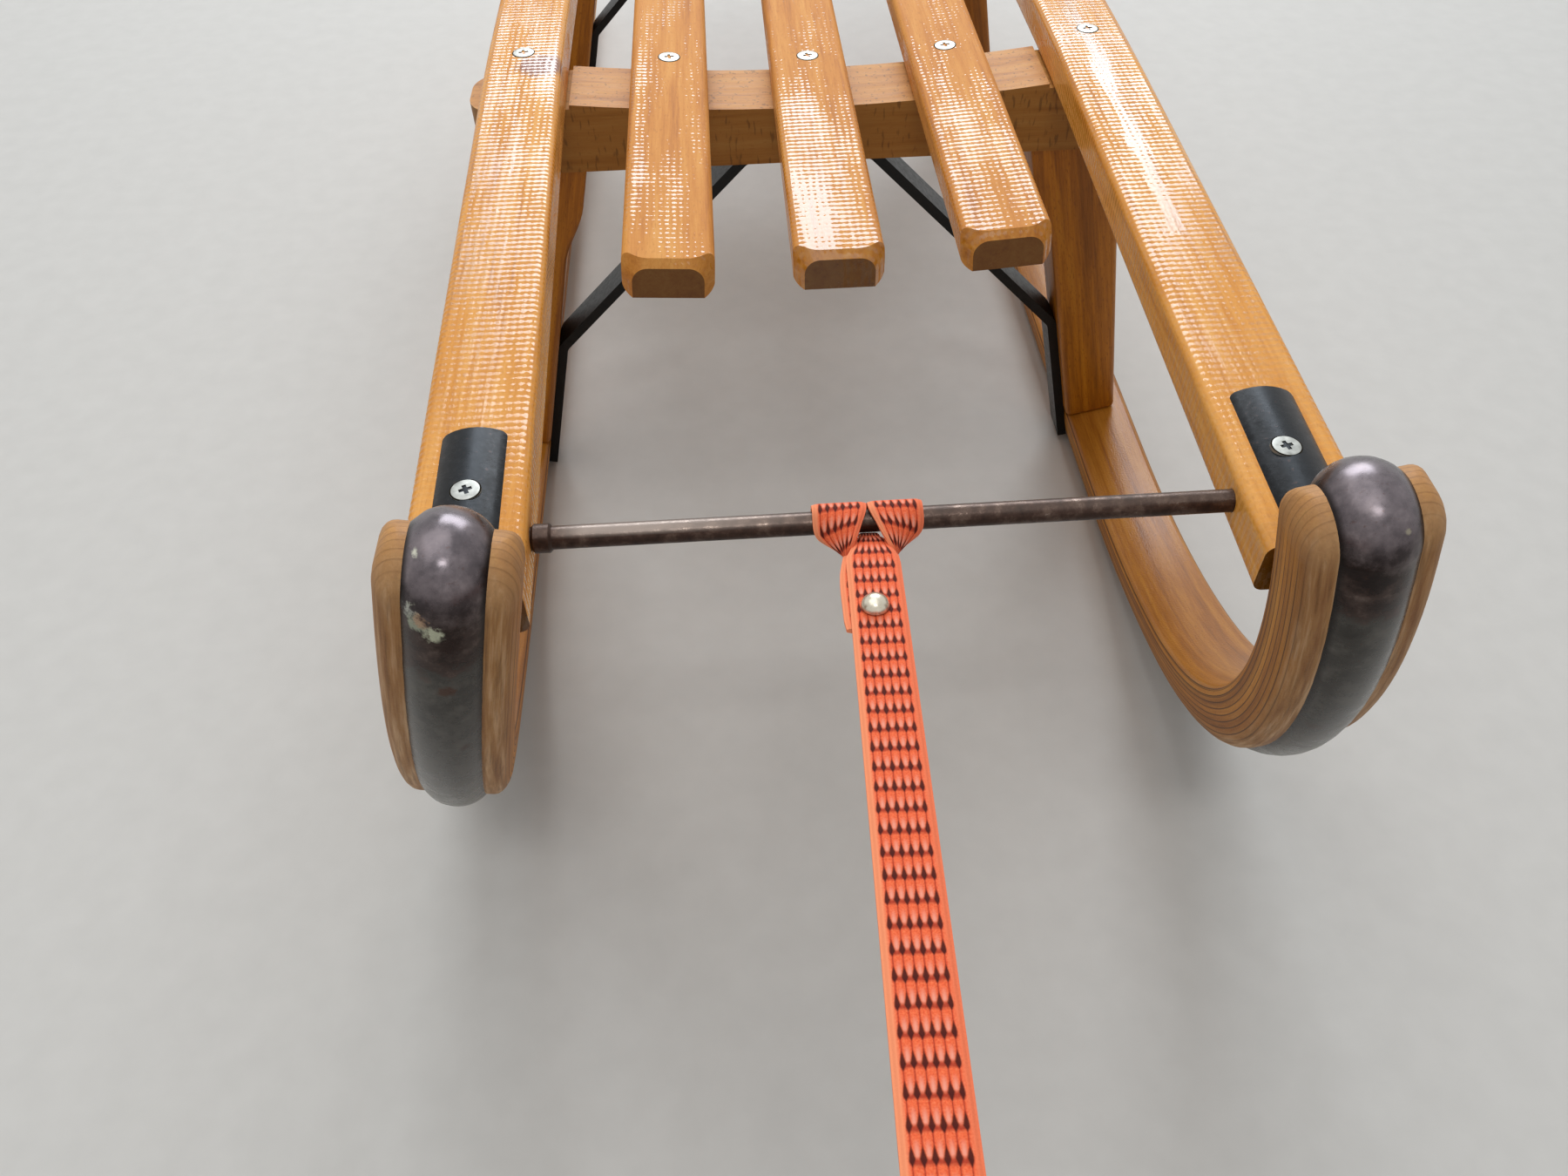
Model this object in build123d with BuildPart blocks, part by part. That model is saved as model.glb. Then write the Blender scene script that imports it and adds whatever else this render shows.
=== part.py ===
from build123d import *
from math import asin, atan2, cos, degrees, radians, sin, sqrt
import os

os.makedirs("parts", exist_ok=True)

# Wooden sled. Millimetres. Front towards -Y, up is +Z, the floor is Z = 0, X = 0 is the middle.
# The origin is the middle of the footprint, on the floor.

# Overall sizes
sled_length = 1000.0  # steel nose to the rear end of the runners
seat_height = 245.0  # top of the outer slats above the floor
runner_spacing = 340.0  # between the middles of the two runner tops
splay = 12.8  # lean of runners and legs, degrees

# Runners, bent from glued veneers
runner_width = 36.0
runner_thickness = 24.0
runner_edge_chamfer = 1.5
runner_heel_radius = 10.0  # lower rear corner
long_bend_radius = 350.0  # first, gentle part of the bend, along the runner's top
long_bend_angle = 25.0
upright_above_seat = 15.0  # where the bend has become upright
horn_above_seat = 37.0  # wooden tip above the seat, along the runner's lean

# Steel running rails, half-round section
rail_width = 20.0
rail_height = 5.0
rail_rear_setback = 16.0  # rail ends this far before the runner's rear end
strip_length = 64.0  # rail's tail lying on the outer slat
strip_height = 3.2
strip_end_round = 2.0

# Seat slats
slat_width = 35.0
slat_pitch = 65.2
outer_slat_thickness = 18.0
inner_slat_thickness = 15.0
slat_edge_round = 3.5
slat_rear_setback = 20.0  # from the runners' rear end
inner_slat_overhang = 166.0  # ahead of the front crossbeam
inner_slat_stagger = (-4.0, 0.0, 5.0)  # front ends, left to right
slat_end_width = 27.0  # hand-cut end faces of the inner slats
slat_end_drop = 2.4
slat_end_round = 6.0
slat_cut_length = 8.0
slat_cut_angle = 36.0
outer_slat_chamfer = 2.5
butt_gap = 0.3  # outer slat's front end to the horn's back
toe_blend_radius = 3000.0  # where the outer slats turn in towards the horns

# Crossbeams
beam_spacing = 400.0
front_beam_from_nose = 365.0
beam_half_length = 158.0
beam_depth = 40.0
beam_bottom_below_seat = 49.0
beam_dip_below_seat = 22.1  # hollow top, in the middle
shoulder_half_length = 111.0
shoulder_below_seat = 16.0
beam_end_round = 15.0
seat_gap = 0.05  # slat's long edges above the hollow top

# Legs
leg_depth = 36.0
leg_edge_chamfer = 1.8
leg_foot_width = 28.0
leg_head_inner = 24.0  # from the runner's middle plane, at the crossbeam
leg_head_outer = 18.5
leg_step_start = 22.0  # inner step, below the crossbeam along the leg
leg_step_end = 55.0

# Braces, one bent flat bar below each crossbeam
brace_width = 20.0
brace_thickness = 5.0
brace_flat_half = 31.0
brace_bend_below_seat = 158.0
brace_foot_overlap = 20.0  # below the runner's top
brace_bend_radius = 8.0

# Pull rod between the outer slats
rod_radius = 3.5
rod_from_nose = 60.5
rod_depth_in_slat = 14.0
rod_fit = 0.1
collar_radius = 4.4
collar_length = 6.0
collar_gap = 0.3
collar_chamfer = 0.8

# Pull strap, woven webbing, held taut in front of the sled
strap_width = 15.5
strap_thickness = 2.0
strap_length = 198.0
hitch_length = 32.4
hitch_middle = -5.2
hitch_fit = 0.2
hitch_wall = 2.2
hitch_throat = 14.0  # from the rod's middle to where the strap is one width
hitch_notch_half = 5.0  # gap between the two turns, at the throat
hitch_notch_length = 9.5
fold_length = 30.0  # riveted second layer
rivet_from_throat = 22.5
rivet_radius = 3.9
rivet_height = 1.8
rivet_washer = 0.8
rivet_shank = 1.5
rivet_fit = 0.1
strap_turn = 2.3  # to the left, degrees
strap_climb = 5.6  # upwards, degrees

# Hand loop at the strap's end
loop_neck = 30.0
loop_length = 120.0
loop_radius = 25.0

# Places worked out from the sizes above
lean = radians(splay)
nose_y = -sled_length / 2
tail_y = sled_length / 2
front_beam_y = nose_y + front_beam_from_nose
rear_beam_y = front_beam_y + beam_spacing
horn_front_y = nose_y + rail_height
horn_back_y = horn_front_y + runner_thickness
rail_radius = ((rail_width / 2) ** 2 + rail_height**2) / (2 * rail_height)
rail_axis_depth = runner_thickness + rail_height - rail_radius
runner_top_z = rail_axis_depth * cos(lean) + rail_radius
seat_rise = (seat_height - runner_top_z) / cos(lean)
upright_rise = seat_rise + upright_above_seat
tip_rise = seat_rise + horn_above_seat
tip_radius = runner_thickness / 2
tip_base = tip_rise - tip_radius
horn_x = runner_spacing / 2 - seat_rise * sin(lean)
bend_angle = radians(long_bend_angle)
big_bend_radius = (upright_rise - long_bend_radius * (1 - cos(bend_angle))) / cos(bend_angle)
bend_start_y = horn_back_y + big_bend_radius * (1 - sin(bend_angle)) + long_bend_radius * sin(bend_angle)
slat_tail_y = tail_y - slat_rear_setback
beam_bottom_z = seat_height - beam_bottom_below_seat


def runner_plane(side):
    """One runner's middle plane: local x runs back along Y, local y up the lean, 0 at its top."""
    normal = (cos(lean), 0, side * sin(lean))
    return Plane(origin=(side * runner_spacing / 2, 0, runner_top_z), x_dir=(0, 1, 0), z_dir=normal)


def leg_plane(side, y):
    """Plane across the sled at y, turned with the leg: local x outwards, local y up the lean."""
    outwards = (side * cos(lean), 0, sin(lean))
    return Plane(origin=(side * runner_spacing / 2, y, runner_top_z), x_dir=outwards, z_dir=(0, -side, 0))


def lean_point(side, across, rise):
    """X and Z of a point given in the leg's own front view."""
    x = side * (runner_spacing / 2 + across * cos(lean) - rise * sin(lean))
    return x, runner_top_z + across * sin(lean) + rise * cos(lean)


def rise_at_height(across, height):
    """Rise up the lean at which a line across from the runner's middle reaches a height."""
    return (height - runner_top_z - across * sin(lean)) / cos(lean)


def bend_points(depth):
    """Start, joint and upright end of the bend for the line that lies depth below the runner's top."""
    joint_y = bend_start_y - (long_bend_radius + depth) * sin(bend_angle)
    joint_rise = -depth + (long_bend_radius + depth) * (1 - cos(bend_angle))
    return (bend_start_y, -depth), (joint_y, joint_rise), (horn_back_y - depth, upright_rise)


def horn_back_at(rise):
    """Y of the horn's rear face at a rise below its upright part."""
    drop = max(upright_rise - rise, 0)
    return horn_back_y + big_bend_radius - sqrt(big_bend_radius**2 - drop**2)


def keep(part, name):
    """Label a finished piece and write it."""
    part.label = name
    export_step(part, f"parts/{name}.step")


# Runners
top_start, top_joint, top_end = bend_points(0)
low_start, low_joint, low_end = bend_points(runner_thickness)
heel_start = (tail_y - runner_heel_radius, -runner_thickness)
heel_end = (tail_y, runner_heel_radius - runner_thickness)
for side, name in ((-1, "runner_left"), (1, "runner_right")):
    with BuildPart() as runner:
        with BuildSketch(runner_plane(side)):
            with BuildLine():
                Line((tail_y, 0), top_start)
                TangentArc(top_start, top_joint, tangent=(-1, 0))
                RadiusArc(top_joint, top_end, big_bend_radius)
                Line(top_end, (horn_back_y, tip_base))
                ThreePointArc((horn_back_y, tip_base), (horn_back_y - tip_radius, tip_rise), (horn_front_y, tip_base))
                Line((horn_front_y, tip_base), low_end)
                RadiusArc(low_end, low_joint, -(big_bend_radius + runner_thickness))
                TangentArc(low_start, low_joint, tangent=(-1, 0))
                Line(low_start, heel_start)
                RadiusArc(heel_start, heel_end, -runner_heel_radius)
                Line(heel_end, (tail_y, 0))
            make_face()
        extrude(amount=runner_width / 2, both=True)
        flanks = runner.faces().filter_by(runner_plane(side))
        chamfer(flanks[0].edges() + flanks[-1].edges(), runner_edge_chamfer)
    keep(runner.part, name)

# Outer slats: straight over the crossbeams, then turned in to the horns
outer_slat_x = 2 * slat_pitch
toe_slope = (outer_slat_x - horn_x) / (front_beam_y - horn_back_y)
toe_angle = atan2(outer_slat_x - horn_x, front_beam_y - horn_back_y)
outer_slat_bottom_z = seat_height - outer_slat_thickness
slat_front_y = horn_back_at(rise_at_height(slat_width / 2, outer_slat_bottom_z)) + butt_gap
rod_y = nose_y + rod_from_nose
rod_z = seat_height - outer_slat_thickness / 2


def outer_slat_middle(y):
    """Distance of an outer slat's middle line from the sled's middle, ahead of the front crossbeam."""
    return outer_slat_x - (front_beam_y - y) * toe_slope


rod_slat_face = outer_slat_middle(rod_y) - slat_width / 2 / cos(toe_angle)
rod_bore_depth = rod_depth_in_slat + 2 * rod_fit
for side, name in ((-1, "slat_1_outer_left"), (1, "slat_5_outer_right")):
    slat_middle_z = seat_height - outer_slat_thickness / 2
    path_front = (side * outer_slat_middle(horn_front_y), horn_front_y, slat_middle_z)
    path_beam = (side * outer_slat_x, front_beam_y, slat_middle_z)
    path_tail = (side * outer_slat_x, slat_tail_y, slat_middle_z)
    with BuildPart() as slat:
        with BuildLine() as slat_path:
            FilletPolyline(path_tail, path_beam, path_front, radius=toe_blend_radius)
        with BuildSketch(Plane(origin=path_tail, x_dir=(1, 0, 0), z_dir=(0, -1, 0))):
            RectangleRounded(slat_width, outer_slat_thickness, slat_edge_round)
        sweep(path=slat_path.wires()[0])
        split(bisect_by=Plane(origin=(0, slat_front_y, 0), z_dir=(0, 1, 0)), keep=Keep.TOP)
        chamfer(slat.faces().sort_by(Axis.Y)[-1].edges(), outer_slat_chamfer)
        with BuildSketch(Plane.YZ.offset(side * (rod_slat_face - slat_edge_round))):
            with Locations((rod_y, rod_z)):
                Circle(rod_radius + rod_fit)
        extrude(amount=side * (rod_bore_depth + slat_edge_round), mode=Mode.SUBTRACT)
    keep(slat.part, name)

# Steel running rails: under the runner, up and over the horn, and back onto the outer slat
strip_start_y = horn_back_at(rise_at_height(rail_width / 2, seat_height)) + seat_gap
strip_end_y = horn_back_y + rail_height + strip_length
strip_run = (strip_end_y - strip_start_y) / cos(toe_angle)
rail_foot_drop = upright_above_seat + rail_height + seat_gap
low_centre = (bend_start_y, long_bend_radius)
high_centre = (horn_back_y + big_bend_radius, upright_rise)
tip_centre = (horn_back_y - tip_radius, tip_base)
foot_angle = asin(rail_foot_drop / big_bend_radius)
low_rail_length = tail_y - rail_rear_setback - bend_start_y
tip_straight = tip_base - upright_rise
# Each run: its start (along, up the lean), heading in degrees, centre of its arc, length or turn
rail_runs = (
    ((tail_y - rail_rear_setback, -runner_thickness), 180, None, low_rail_length),
    (low_start, 180, low_centre, -long_bend_angle),
    (low_joint, 180 - long_bend_angle, high_centre, long_bend_angle - 90),
    (low_end, 90, None, tip_straight),
    ((horn_front_y, tip_base), 90, tip_centre, -180),
    ((horn_back_y, tip_base), -90, None, tip_straight),
    (top_end, -90, high_centre, degrees(foot_angle)),
)
for side, name in ((-1, "rail_left"), (1, "rail_right")):
    plane = runner_plane(side)
    with BuildPart() as bent:
        for start, heading, centre, amount in rail_runs:
            ahead = plane.x_dir * cos(radians(heading)) + plane.y_dir * sin(radians(heading))
            with BuildSketch(Plane(origin=plane.from_local_coords((*start, 0)), x_dir=-plane.z_dir, z_dir=ahead)):
                with BuildLine():
                    Line((-rail_width / 2, 0), (rail_width / 2, 0))
                    ThreePointArc((rail_width / 2, 0), (0, rail_height), (-rail_width / 2, 0))
                make_face()
            if centre is None:
                extrude(amount=amount)
            else:
                pivot = Axis(plane.from_local_coords((*centre, 0)), plane.z_dir)
                revolve(axis=pivot, revolution_arc=amount)
        with BuildSketch(Plane.XY.offset(seat_height)):
            with Locations((side * horn_x, horn_back_y + rail_width)):
                Rectangle(3 * rail_width, 2 * rail_width + 2 * seat_gap)
        extrude(amount=-rail_width, mode=Mode.SUBTRACT)
    strip_origin = (side * outer_slat_middle(strip_start_y), strip_start_y, seat_height)
    backwards = (side * sin(toe_angle), cos(toe_angle), 0)
    with BuildPart() as strip:
        with BuildSketch(Plane(origin=strip_origin, x_dir=(-cos(toe_angle), side * sin(toe_angle), 0), z_dir=backwards)):
            with BuildLine():
                Line((-rail_width / 2, 0), (rail_width / 2, 0))
                ThreePointArc((rail_width / 2, 0), (0, strip_height), (-rail_width / 2, 0))
            make_face()
        extrude(amount=strip_run, both=True)
        split(bisect_by=Plane(origin=strip_origin, z_dir=(0, 1, 0)), keep=Keep.TOP)
        with BuildSketch(Plane(origin=strip_origin, x_dir=backwards, z_dir=(0, 0, 1))):
            with Locations((strip_run / 2 - strip_end_round, 0)):
                RectangleRounded(strip_run + 2 * strip_end_round, rail_width + seat_gap, strip_end_round)
        extrude(amount=rail_height + seat_gap, mode=Mode.INTERSECT)
    with BuildPart() as rail:
        add(bent.part)
        add(strip.part)
    keep(rail.part, name)

# Crossbeams with a hollow top between two shoulders
hollow_dip = beam_dip_below_seat - shoulder_below_seat
hollow_radius = (shoulder_half_length**2 + hollow_dip**2) / (2 * hollow_dip)
hollow_centre_z = seat_height - beam_dip_below_seat + hollow_radius
shoulder_z = seat_height - shoulder_below_seat
notch_z = seat_height - outer_slat_thickness
for beam_y, name in ((front_beam_y, "crossbeam_front"), (rear_beam_y, "crossbeam_rear")):
    with BuildPart() as beam:
        with BuildSketch(Plane.XZ.offset(-beam_y)):
            with BuildLine():
                Polyline(
                    (shoulder_half_length, shoulder_z),
                    (shoulder_half_length, notch_z),
                    (beam_half_length, notch_z),
                    (beam_half_length, beam_bottom_z),
                    (-beam_half_length, beam_bottom_z),
                    (-beam_half_length, notch_z),
                    (-shoulder_half_length, notch_z),
                    (-shoulder_half_length, shoulder_z),
                )
                ThreePointArc(
                    (-shoulder_half_length, shoulder_z),
                    (0, seat_height - beam_dip_below_seat),
                    (shoulder_half_length, shoulder_z),
                )
            make_face()
        extrude(amount=beam_depth / 2, both=True)
        ends = beam.faces().filter_by(Axis.X).sort_by(Axis.X)
        fillet((ends[0].edges() + ends[-1].edges()).filter_by(Axis.Z), beam_end_round)
    keep(beam.part, name)

# Inner slats, each seated on the hollow of both crossbeams
flat_half = slat_width / 2 - slat_edge_round
seat_lift = hollow_radius - sqrt(hollow_radius**2 - flat_half**2) + seat_gap
inner_slat_names = ("slat_2_left", "slat_3_middle", "slat_4_right")
for place, stagger, name in zip((-1, 0, 1), inner_slat_stagger, inner_slat_names):
    tilt = asin(place * slat_pitch / hollow_radius)
    slat_front = front_beam_y - inner_slat_overhang + stagger
    slat_middle_y = (slat_front + slat_tail_y) / 2
    half_length = (slat_tail_y - slat_front) / 2
    seat_radius = hollow_radius - seat_lift
    seat_point = Vector(seat_radius * sin(tilt), slat_middle_y, hollow_centre_z - seat_radius * cos(tilt))
    slat_across = Vector(cos(tilt), 0, sin(tilt))
    front_plane = Plane(origin=seat_point - Vector(0, half_length, 0), x_dir=-slat_across, z_dir=(0, 1, 0))
    with BuildPart() as slat:
        with BuildSketch(front_plane):
            with Locations((0, inner_slat_thickness / 2)):
                RectangleRounded(slat_width, inner_slat_thickness, slat_edge_round)
        extrude(amount=slat_cut_length)
        with BuildSketch(front_plane):
            with Locations((0, inner_slat_thickness / 2 - slat_end_drop)):
                end_face = Rectangle(slat_end_width, inner_slat_thickness)
            fillet(end_face.vertices().group_by(Axis.Y)[-1], slat_end_round)
        extrude(amount=slat_cut_length, taper=-slat_cut_angle, mode=Mode.INTERSECT)
        extrude(slat.faces().sort_by(Axis.Y)[-1], amount=half_length - slat_cut_length)
        mirror(about=Plane(origin=seat_point, z_dir=(0, 1, 0)))
    keep(slat.part, name)

# Legs between crossbeam and runner, wider at the head on their inner side
leg_inner = -runner_width / 2
head_inner_rise = rise_at_height(-leg_head_inner, beam_bottom_z)
head_outer_rise = rise_at_height(leg_head_outer, beam_bottom_z)
step_high = (-leg_head_inner, head_inner_rise - leg_step_start)
step_low = (leg_inner, head_inner_rise - leg_step_end)
step_middle = ((step_high[0] + step_low[0]) / 2, (step_high[1] + step_low[1]) / 2)
for side, hand in ((-1, "left"), (1, "right")):
    for beam_y, end in ((front_beam_y, "front"), (rear_beam_y, "rear")):
        with BuildPart() as leg:
            with BuildSketch(leg_plane(side, beam_y)):
                with BuildLine():
                    Polyline(
                        step_high,
                        (-leg_head_inner, head_inner_rise),
                        (leg_head_outer, head_outer_rise),
                        (leg_inner + leg_foot_width, 0),
                        (leg_inner, 0),
                        step_low,
                    )
                    TangentArc(step_low, step_middle, tangent=(0, 1))
                    TangentArc(step_high, step_middle, tangent=(0, -1))
                make_face()
            extrude(amount=leg_depth / 2, both=True)
            head = leg.faces().sort_by(Axis.Z)[-1]
            chamfer(leg.edges() - head.edges(), leg_edge_chamfer)
        keep(leg.part, f"leg_{end}_{hand}")

# Braces: flat bar under the crossbeam, slanting to the legs and down their inner faces
bar_across = leg_inner - brace_thickness / 2
bar_bend_rise = rise_at_height(bar_across, seat_height - brace_bend_below_seat)
bar_flat_z = beam_bottom_z - brace_thickness / 2
for beam_y, name in ((front_beam_y, "brace_front"), (rear_beam_y, "brace_rear")):
    corners = []
    for side in (-1, 1):
        foot_x, foot_z = lean_point(side, bar_across, -brace_foot_overlap)
        bend_x, bend_z = lean_point(side, bar_across, bar_bend_rise)
        half = [(foot_x, beam_y, foot_z), (bend_x, beam_y, bend_z), (side * brace_flat_half, beam_y, bar_flat_z)]
        corners += half if side < 0 else half[::-1]
    with BuildPart() as brace:
        with BuildLine() as bar_path:
            FilletPolyline(*corners, radius=brace_bend_radius)
        with BuildSketch(Plane(origin=bar_path.line @ 0, x_dir=(0, 1, 0), z_dir=bar_path.line % 0)):
            Rectangle(brace_width, brace_thickness)
        sweep(path=bar_path.wires()[0])
    keep(brace.part, name)

# Pull rod, its ends in the outer slats, with an upset collar at the left
rod_half = rod_slat_face + rod_depth_in_slat
with BuildPart() as rod:
    with BuildSketch(Plane.YZ.offset(-rod_half)):
        with Locations((rod_y, rod_z)):
            Circle(rod_radius)
    extrude(amount=2 * rod_half)
    with BuildSketch(Plane.YZ.offset(-rod_slat_face + collar_gap)):
        with Locations((rod_y, rod_z)):
            Circle(collar_radius)
    extrude(amount=collar_length)
    rims = rod.edges().filter_by(GeomType.CIRCLE).group_by(SortBy.RADIUS)[-1]
    chamfer(rims, collar_chamfer)
keep(rod.part, "pull_rod")

# Pull strap: the direction in which it is drawn, and the plane it lies in
throat_y = rod_y - hitch_throat
turn = radians(strap_turn)
climb = radians(strap_climb)
strap_start = Vector(hitch_middle, throat_y, rod_z)
strap_ahead = Vector(-sin(turn) * cos(climb), -cos(turn) * cos(climb), sin(climb))
strap_across = Vector(cos(turn), -sin(turn), 0)
strap_up = strap_ahead.cross(strap_across)
strap_end = strap_start + strap_ahead * strap_length

# Hitch: two turns side by side on the rod, drawn together in front of it
hitch_radius = rod_radius + hitch_fit + hitch_wall
with BuildPart() as hitch:
    with BuildSketch(Plane(origin=strap_start, x_dir=strap_across, z_dir=strap_up)):
        with BuildLine():
            Polyline(
                (-strap_width / 2, 0),
                (-hitch_notch_half, 0),
                (0, hitch_notch_length),
                (hitch_notch_half, 0),
                (strap_width / 2, 0),
                (hitch_length / 2, hitch_throat),
                (-hitch_length / 2, hitch_throat),
                close=True,
            )
        make_face()
    extrude(amount=strap_thickness, both=True)
    with BuildSketch(Plane.YZ.offset(hitch_middle - hitch_length / 2)):
        with Locations((rod_y, rod_z)):
            Circle(hitch_radius)
    extrude(amount=hitch_length)
    with BuildSketch(Plane.YZ.offset(hitch_middle - hitch_length)):
        with Locations((rod_y, rod_z)):
            Circle(rod_radius + hitch_fit)
    extrude(amount=2 * hitch_length, mode=Mode.SUBTRACT)
keep(hitch.part, "strap_hitch")

# Strap: one straight taut run, and below it the riveted fold of the hitch
shank_hole = rivet_shank + rivet_fit
for top, length, name in ((strap_thickness, strap_length, "strap"), (0, fold_length, "strap_fold")):
    layer_origin = strap_start + strap_up * (top - strap_thickness / 2)
    with BuildPart() as layer:
        with BuildSketch(Plane(origin=layer_origin, x_dir=strap_ahead, z_dir=strap_up)):
            with Locations((length / 2, 0)):
                Rectangle(length, strap_width)
            with Locations((rivet_from_throat, 0)):
                Circle(shank_hole, mode=Mode.SUBTRACT)
        extrude(amount=strap_thickness / 2, both=True)
    keep(layer.part, name)

# Hand loop: two layers riveted together, then a teardrop of one layer
loop_centre = loop_length - loop_radius
neck_slope = atan2(strap_thickness, loop_centre - loop_neck)
tangent_slope = asin(loop_radius / sqrt((loop_centre - loop_neck) ** 2 + strap_thickness**2)) - neck_slope
inner_radius = loop_radius - strap_thickness
loop_side = Plane(origin=strap_end, x_dir=strap_ahead, z_dir=-strap_across)
with BuildPart() as hand_loop:
    with BuildSketch(loop_side):
        with BuildLine():
            touch_x = loop_centre - loop_radius * sin(tangent_slope)
            touch_y = loop_radius * cos(tangent_slope)
            Polyline(
                (touch_x, touch_y),
                (loop_neck, strap_thickness),
                (0, strap_thickness),
                (0, -strap_thickness),
                (loop_neck, -strap_thickness),
                (touch_x, -touch_y),
            )
            ThreePointArc((touch_x, touch_y), (loop_length, 0), (touch_x, -touch_y))
        make_face()
        with BuildLine():
            bight_x = loop_centre - inner_radius * sin(tangent_slope)
            bight_y = inner_radius * cos(tangent_slope)
            crotch = (loop_centre - inner_radius / sin(tangent_slope), 0)
            Polyline((bight_x, bight_y), crotch, (bight_x, -bight_y))
            ThreePointArc((bight_x, bight_y), (loop_centre + inner_radius, 0), (bight_x, -bight_y))
        make_face(mode=Mode.SUBTRACT)
    extrude(amount=strap_width / 2, both=True)
    with BuildSketch(Plane(origin=strap_end, x_dir=strap_ahead, z_dir=strap_up)):
        with Locations((loop_neck / 2, 0)):
            Circle(shank_hole)
    extrude(amount=2 * strap_thickness, both=True, mode=Mode.SUBTRACT)
keep(hand_loop.part, "hand_loop")

# Rivets: domed head above, washer below, shank through both layers
hitch_rivet_middle = strap_start + strap_ahead * rivet_from_throat
loop_rivet_middle = strap_end + strap_ahead * (loop_neck / 2)
for middle, name in ((hitch_rivet_middle, "strap_rivet"), (loop_rivet_middle, "hand_loop_rivet")):
    with BuildPart() as rivet:
        with BuildSketch(Plane(origin=middle, x_dir=strap_across, z_dir=strap_ahead * -1)):
            with BuildLine():
                Polyline(
                    (0, strap_thickness + rivet_height),
                    (0, -strap_thickness - rivet_washer),
                    (rivet_radius, -strap_thickness - rivet_washer),
                    (rivet_radius, -strap_thickness),
                    (rivet_shank, -strap_thickness),
                    (rivet_shank, strap_thickness),
                    (rivet_radius, strap_thickness),
                    (rivet_radius / 2, strap_thickness + rivet_height),
                    close=True,
                )
            make_face()
        revolve(axis=Axis(middle, strap_up), revolution_arc=360)
    keep(rivet.part, name)
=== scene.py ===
import bpy
import bmesh
import random
from functools import partial
from math import asin, atan2, cos, pi, radians, sin
from mathutils import Matrix, Vector


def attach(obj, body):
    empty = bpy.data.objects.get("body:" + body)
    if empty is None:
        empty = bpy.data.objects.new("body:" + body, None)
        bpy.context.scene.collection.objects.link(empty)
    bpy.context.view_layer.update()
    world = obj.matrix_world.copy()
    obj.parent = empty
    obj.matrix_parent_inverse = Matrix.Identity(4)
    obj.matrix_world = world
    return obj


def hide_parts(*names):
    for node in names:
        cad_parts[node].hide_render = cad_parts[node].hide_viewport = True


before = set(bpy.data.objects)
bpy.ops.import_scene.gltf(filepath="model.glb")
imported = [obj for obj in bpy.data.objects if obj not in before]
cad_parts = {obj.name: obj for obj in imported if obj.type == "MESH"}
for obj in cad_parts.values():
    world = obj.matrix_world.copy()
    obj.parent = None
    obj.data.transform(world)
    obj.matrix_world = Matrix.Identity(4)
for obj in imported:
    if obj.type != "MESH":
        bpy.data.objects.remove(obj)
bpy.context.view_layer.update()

print("frame loaded:", len(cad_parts), "nodes")


def hexColour(code):
    # sRGB hex to linear
    parts = [int(code[i:i + 2], 16) / 255 for i in (0, 2, 4)]
    return tuple(p / 12.92 if p <= 0.04045 else ((p + 0.055) / 1.055) ** 2.4 for p in parts) + (1.0,)


def addNode(tree, kind, feeds=(), operation=None, stops=(), **settings):
    # feeds: values for the node's open sockets in their order, such as value, from, from, to, to in a MapRange,
    # share, colour, colour in a Mix and vector, scale, detail, roughness in a TexNoise; or a dictionary by socket
    # name. A value may be a hex colour, a node (its first open output) or (node, output). stops: (place, hex)
    made = tree.nodes.new("ShaderNode" + kind)
    if kind == "Mix":
        made.data_type = "RGBA"
    if operation:
        made.operation = operation
    for name, value in settings.items():
        setattr(made, name, value)
    named = isinstance(feeds, dict)
    sockets = [made.inputs[name] for name in feeds] if named else [s for s in made.inputs if s.enabled]
    for socket, value in zip(sockets, feeds.values() if named else feeds):
        if isinstance(value, bpy.types.Node):
            value = next(s for s in value.outputs if s.enabled)
        elif isinstance(value, tuple) and isinstance(value[0], bpy.types.Node):
            value = value[0].outputs[value[1]]
        if isinstance(value, bpy.types.NodeSocket):
            tree.links.new(value, socket)
        else:
            socket.default_value = hexColour(value) if isinstance(value, str) else value
    if stops:
        marks = made.color_ramp.elements
        for place, colour in stops[len(marks):]:
            marks.new(0.5)
        for mark, (place, colour) in zip(marks, stops):
            mark.position, mark.color = place, hexColour(colour)
    return made


def addObject(name, data):
    # for lamps, the camera and meshes made in code
    made = bpy.data.objects.new(name, data)
    bpy.context.scene.collection.objects.link(made)
    return made


def newMaterial(name):
    # a material, and addNode for its own nodes
    made = bpy.data.materials.new(name)
    made.use_nodes = True
    made.node_tree.nodes.clear()
    return made, partial(addNode, made.node_tree)


def deselectAll():
    if bpy.context.mode != "OBJECT":
        bpy.ops.object.mode_set(mode="OBJECT")
    bpy.ops.object.select_all(action="DESELECT")


def pickOnly(obj):
    deselectAll()
    bpy.context.view_layer.objects.active = obj
    obj.select_set(True)


def justMade(name):
    # the piece that bpy.ops has just added, under its own name
    made = bpy.context.object
    made.name = name
    made.data.name = name
    return made


def editPick(obj, test, kind="VERT"):
    # in edit mode: select the vertices, edges or faces that pass the test
    bm = bmesh.from_edit_mesh(obj.data)
    groups = {"VERT": bm.verts, "EDGE": bm.edges, "FACE": bm.faces}
    for group in groups.values():
        for item in group:
            item.select = False
    bm.select_mode = {kind}
    for item in groups[kind]:
        item.select = test(item)
    bm.select_flush_mode()
    bmesh.update_edit_mesh(obj.data)


def frameOf(x, y, z):
    # turns the world's axes to these
    return Matrix((x, y, z)).transposed().to_4x4()


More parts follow.
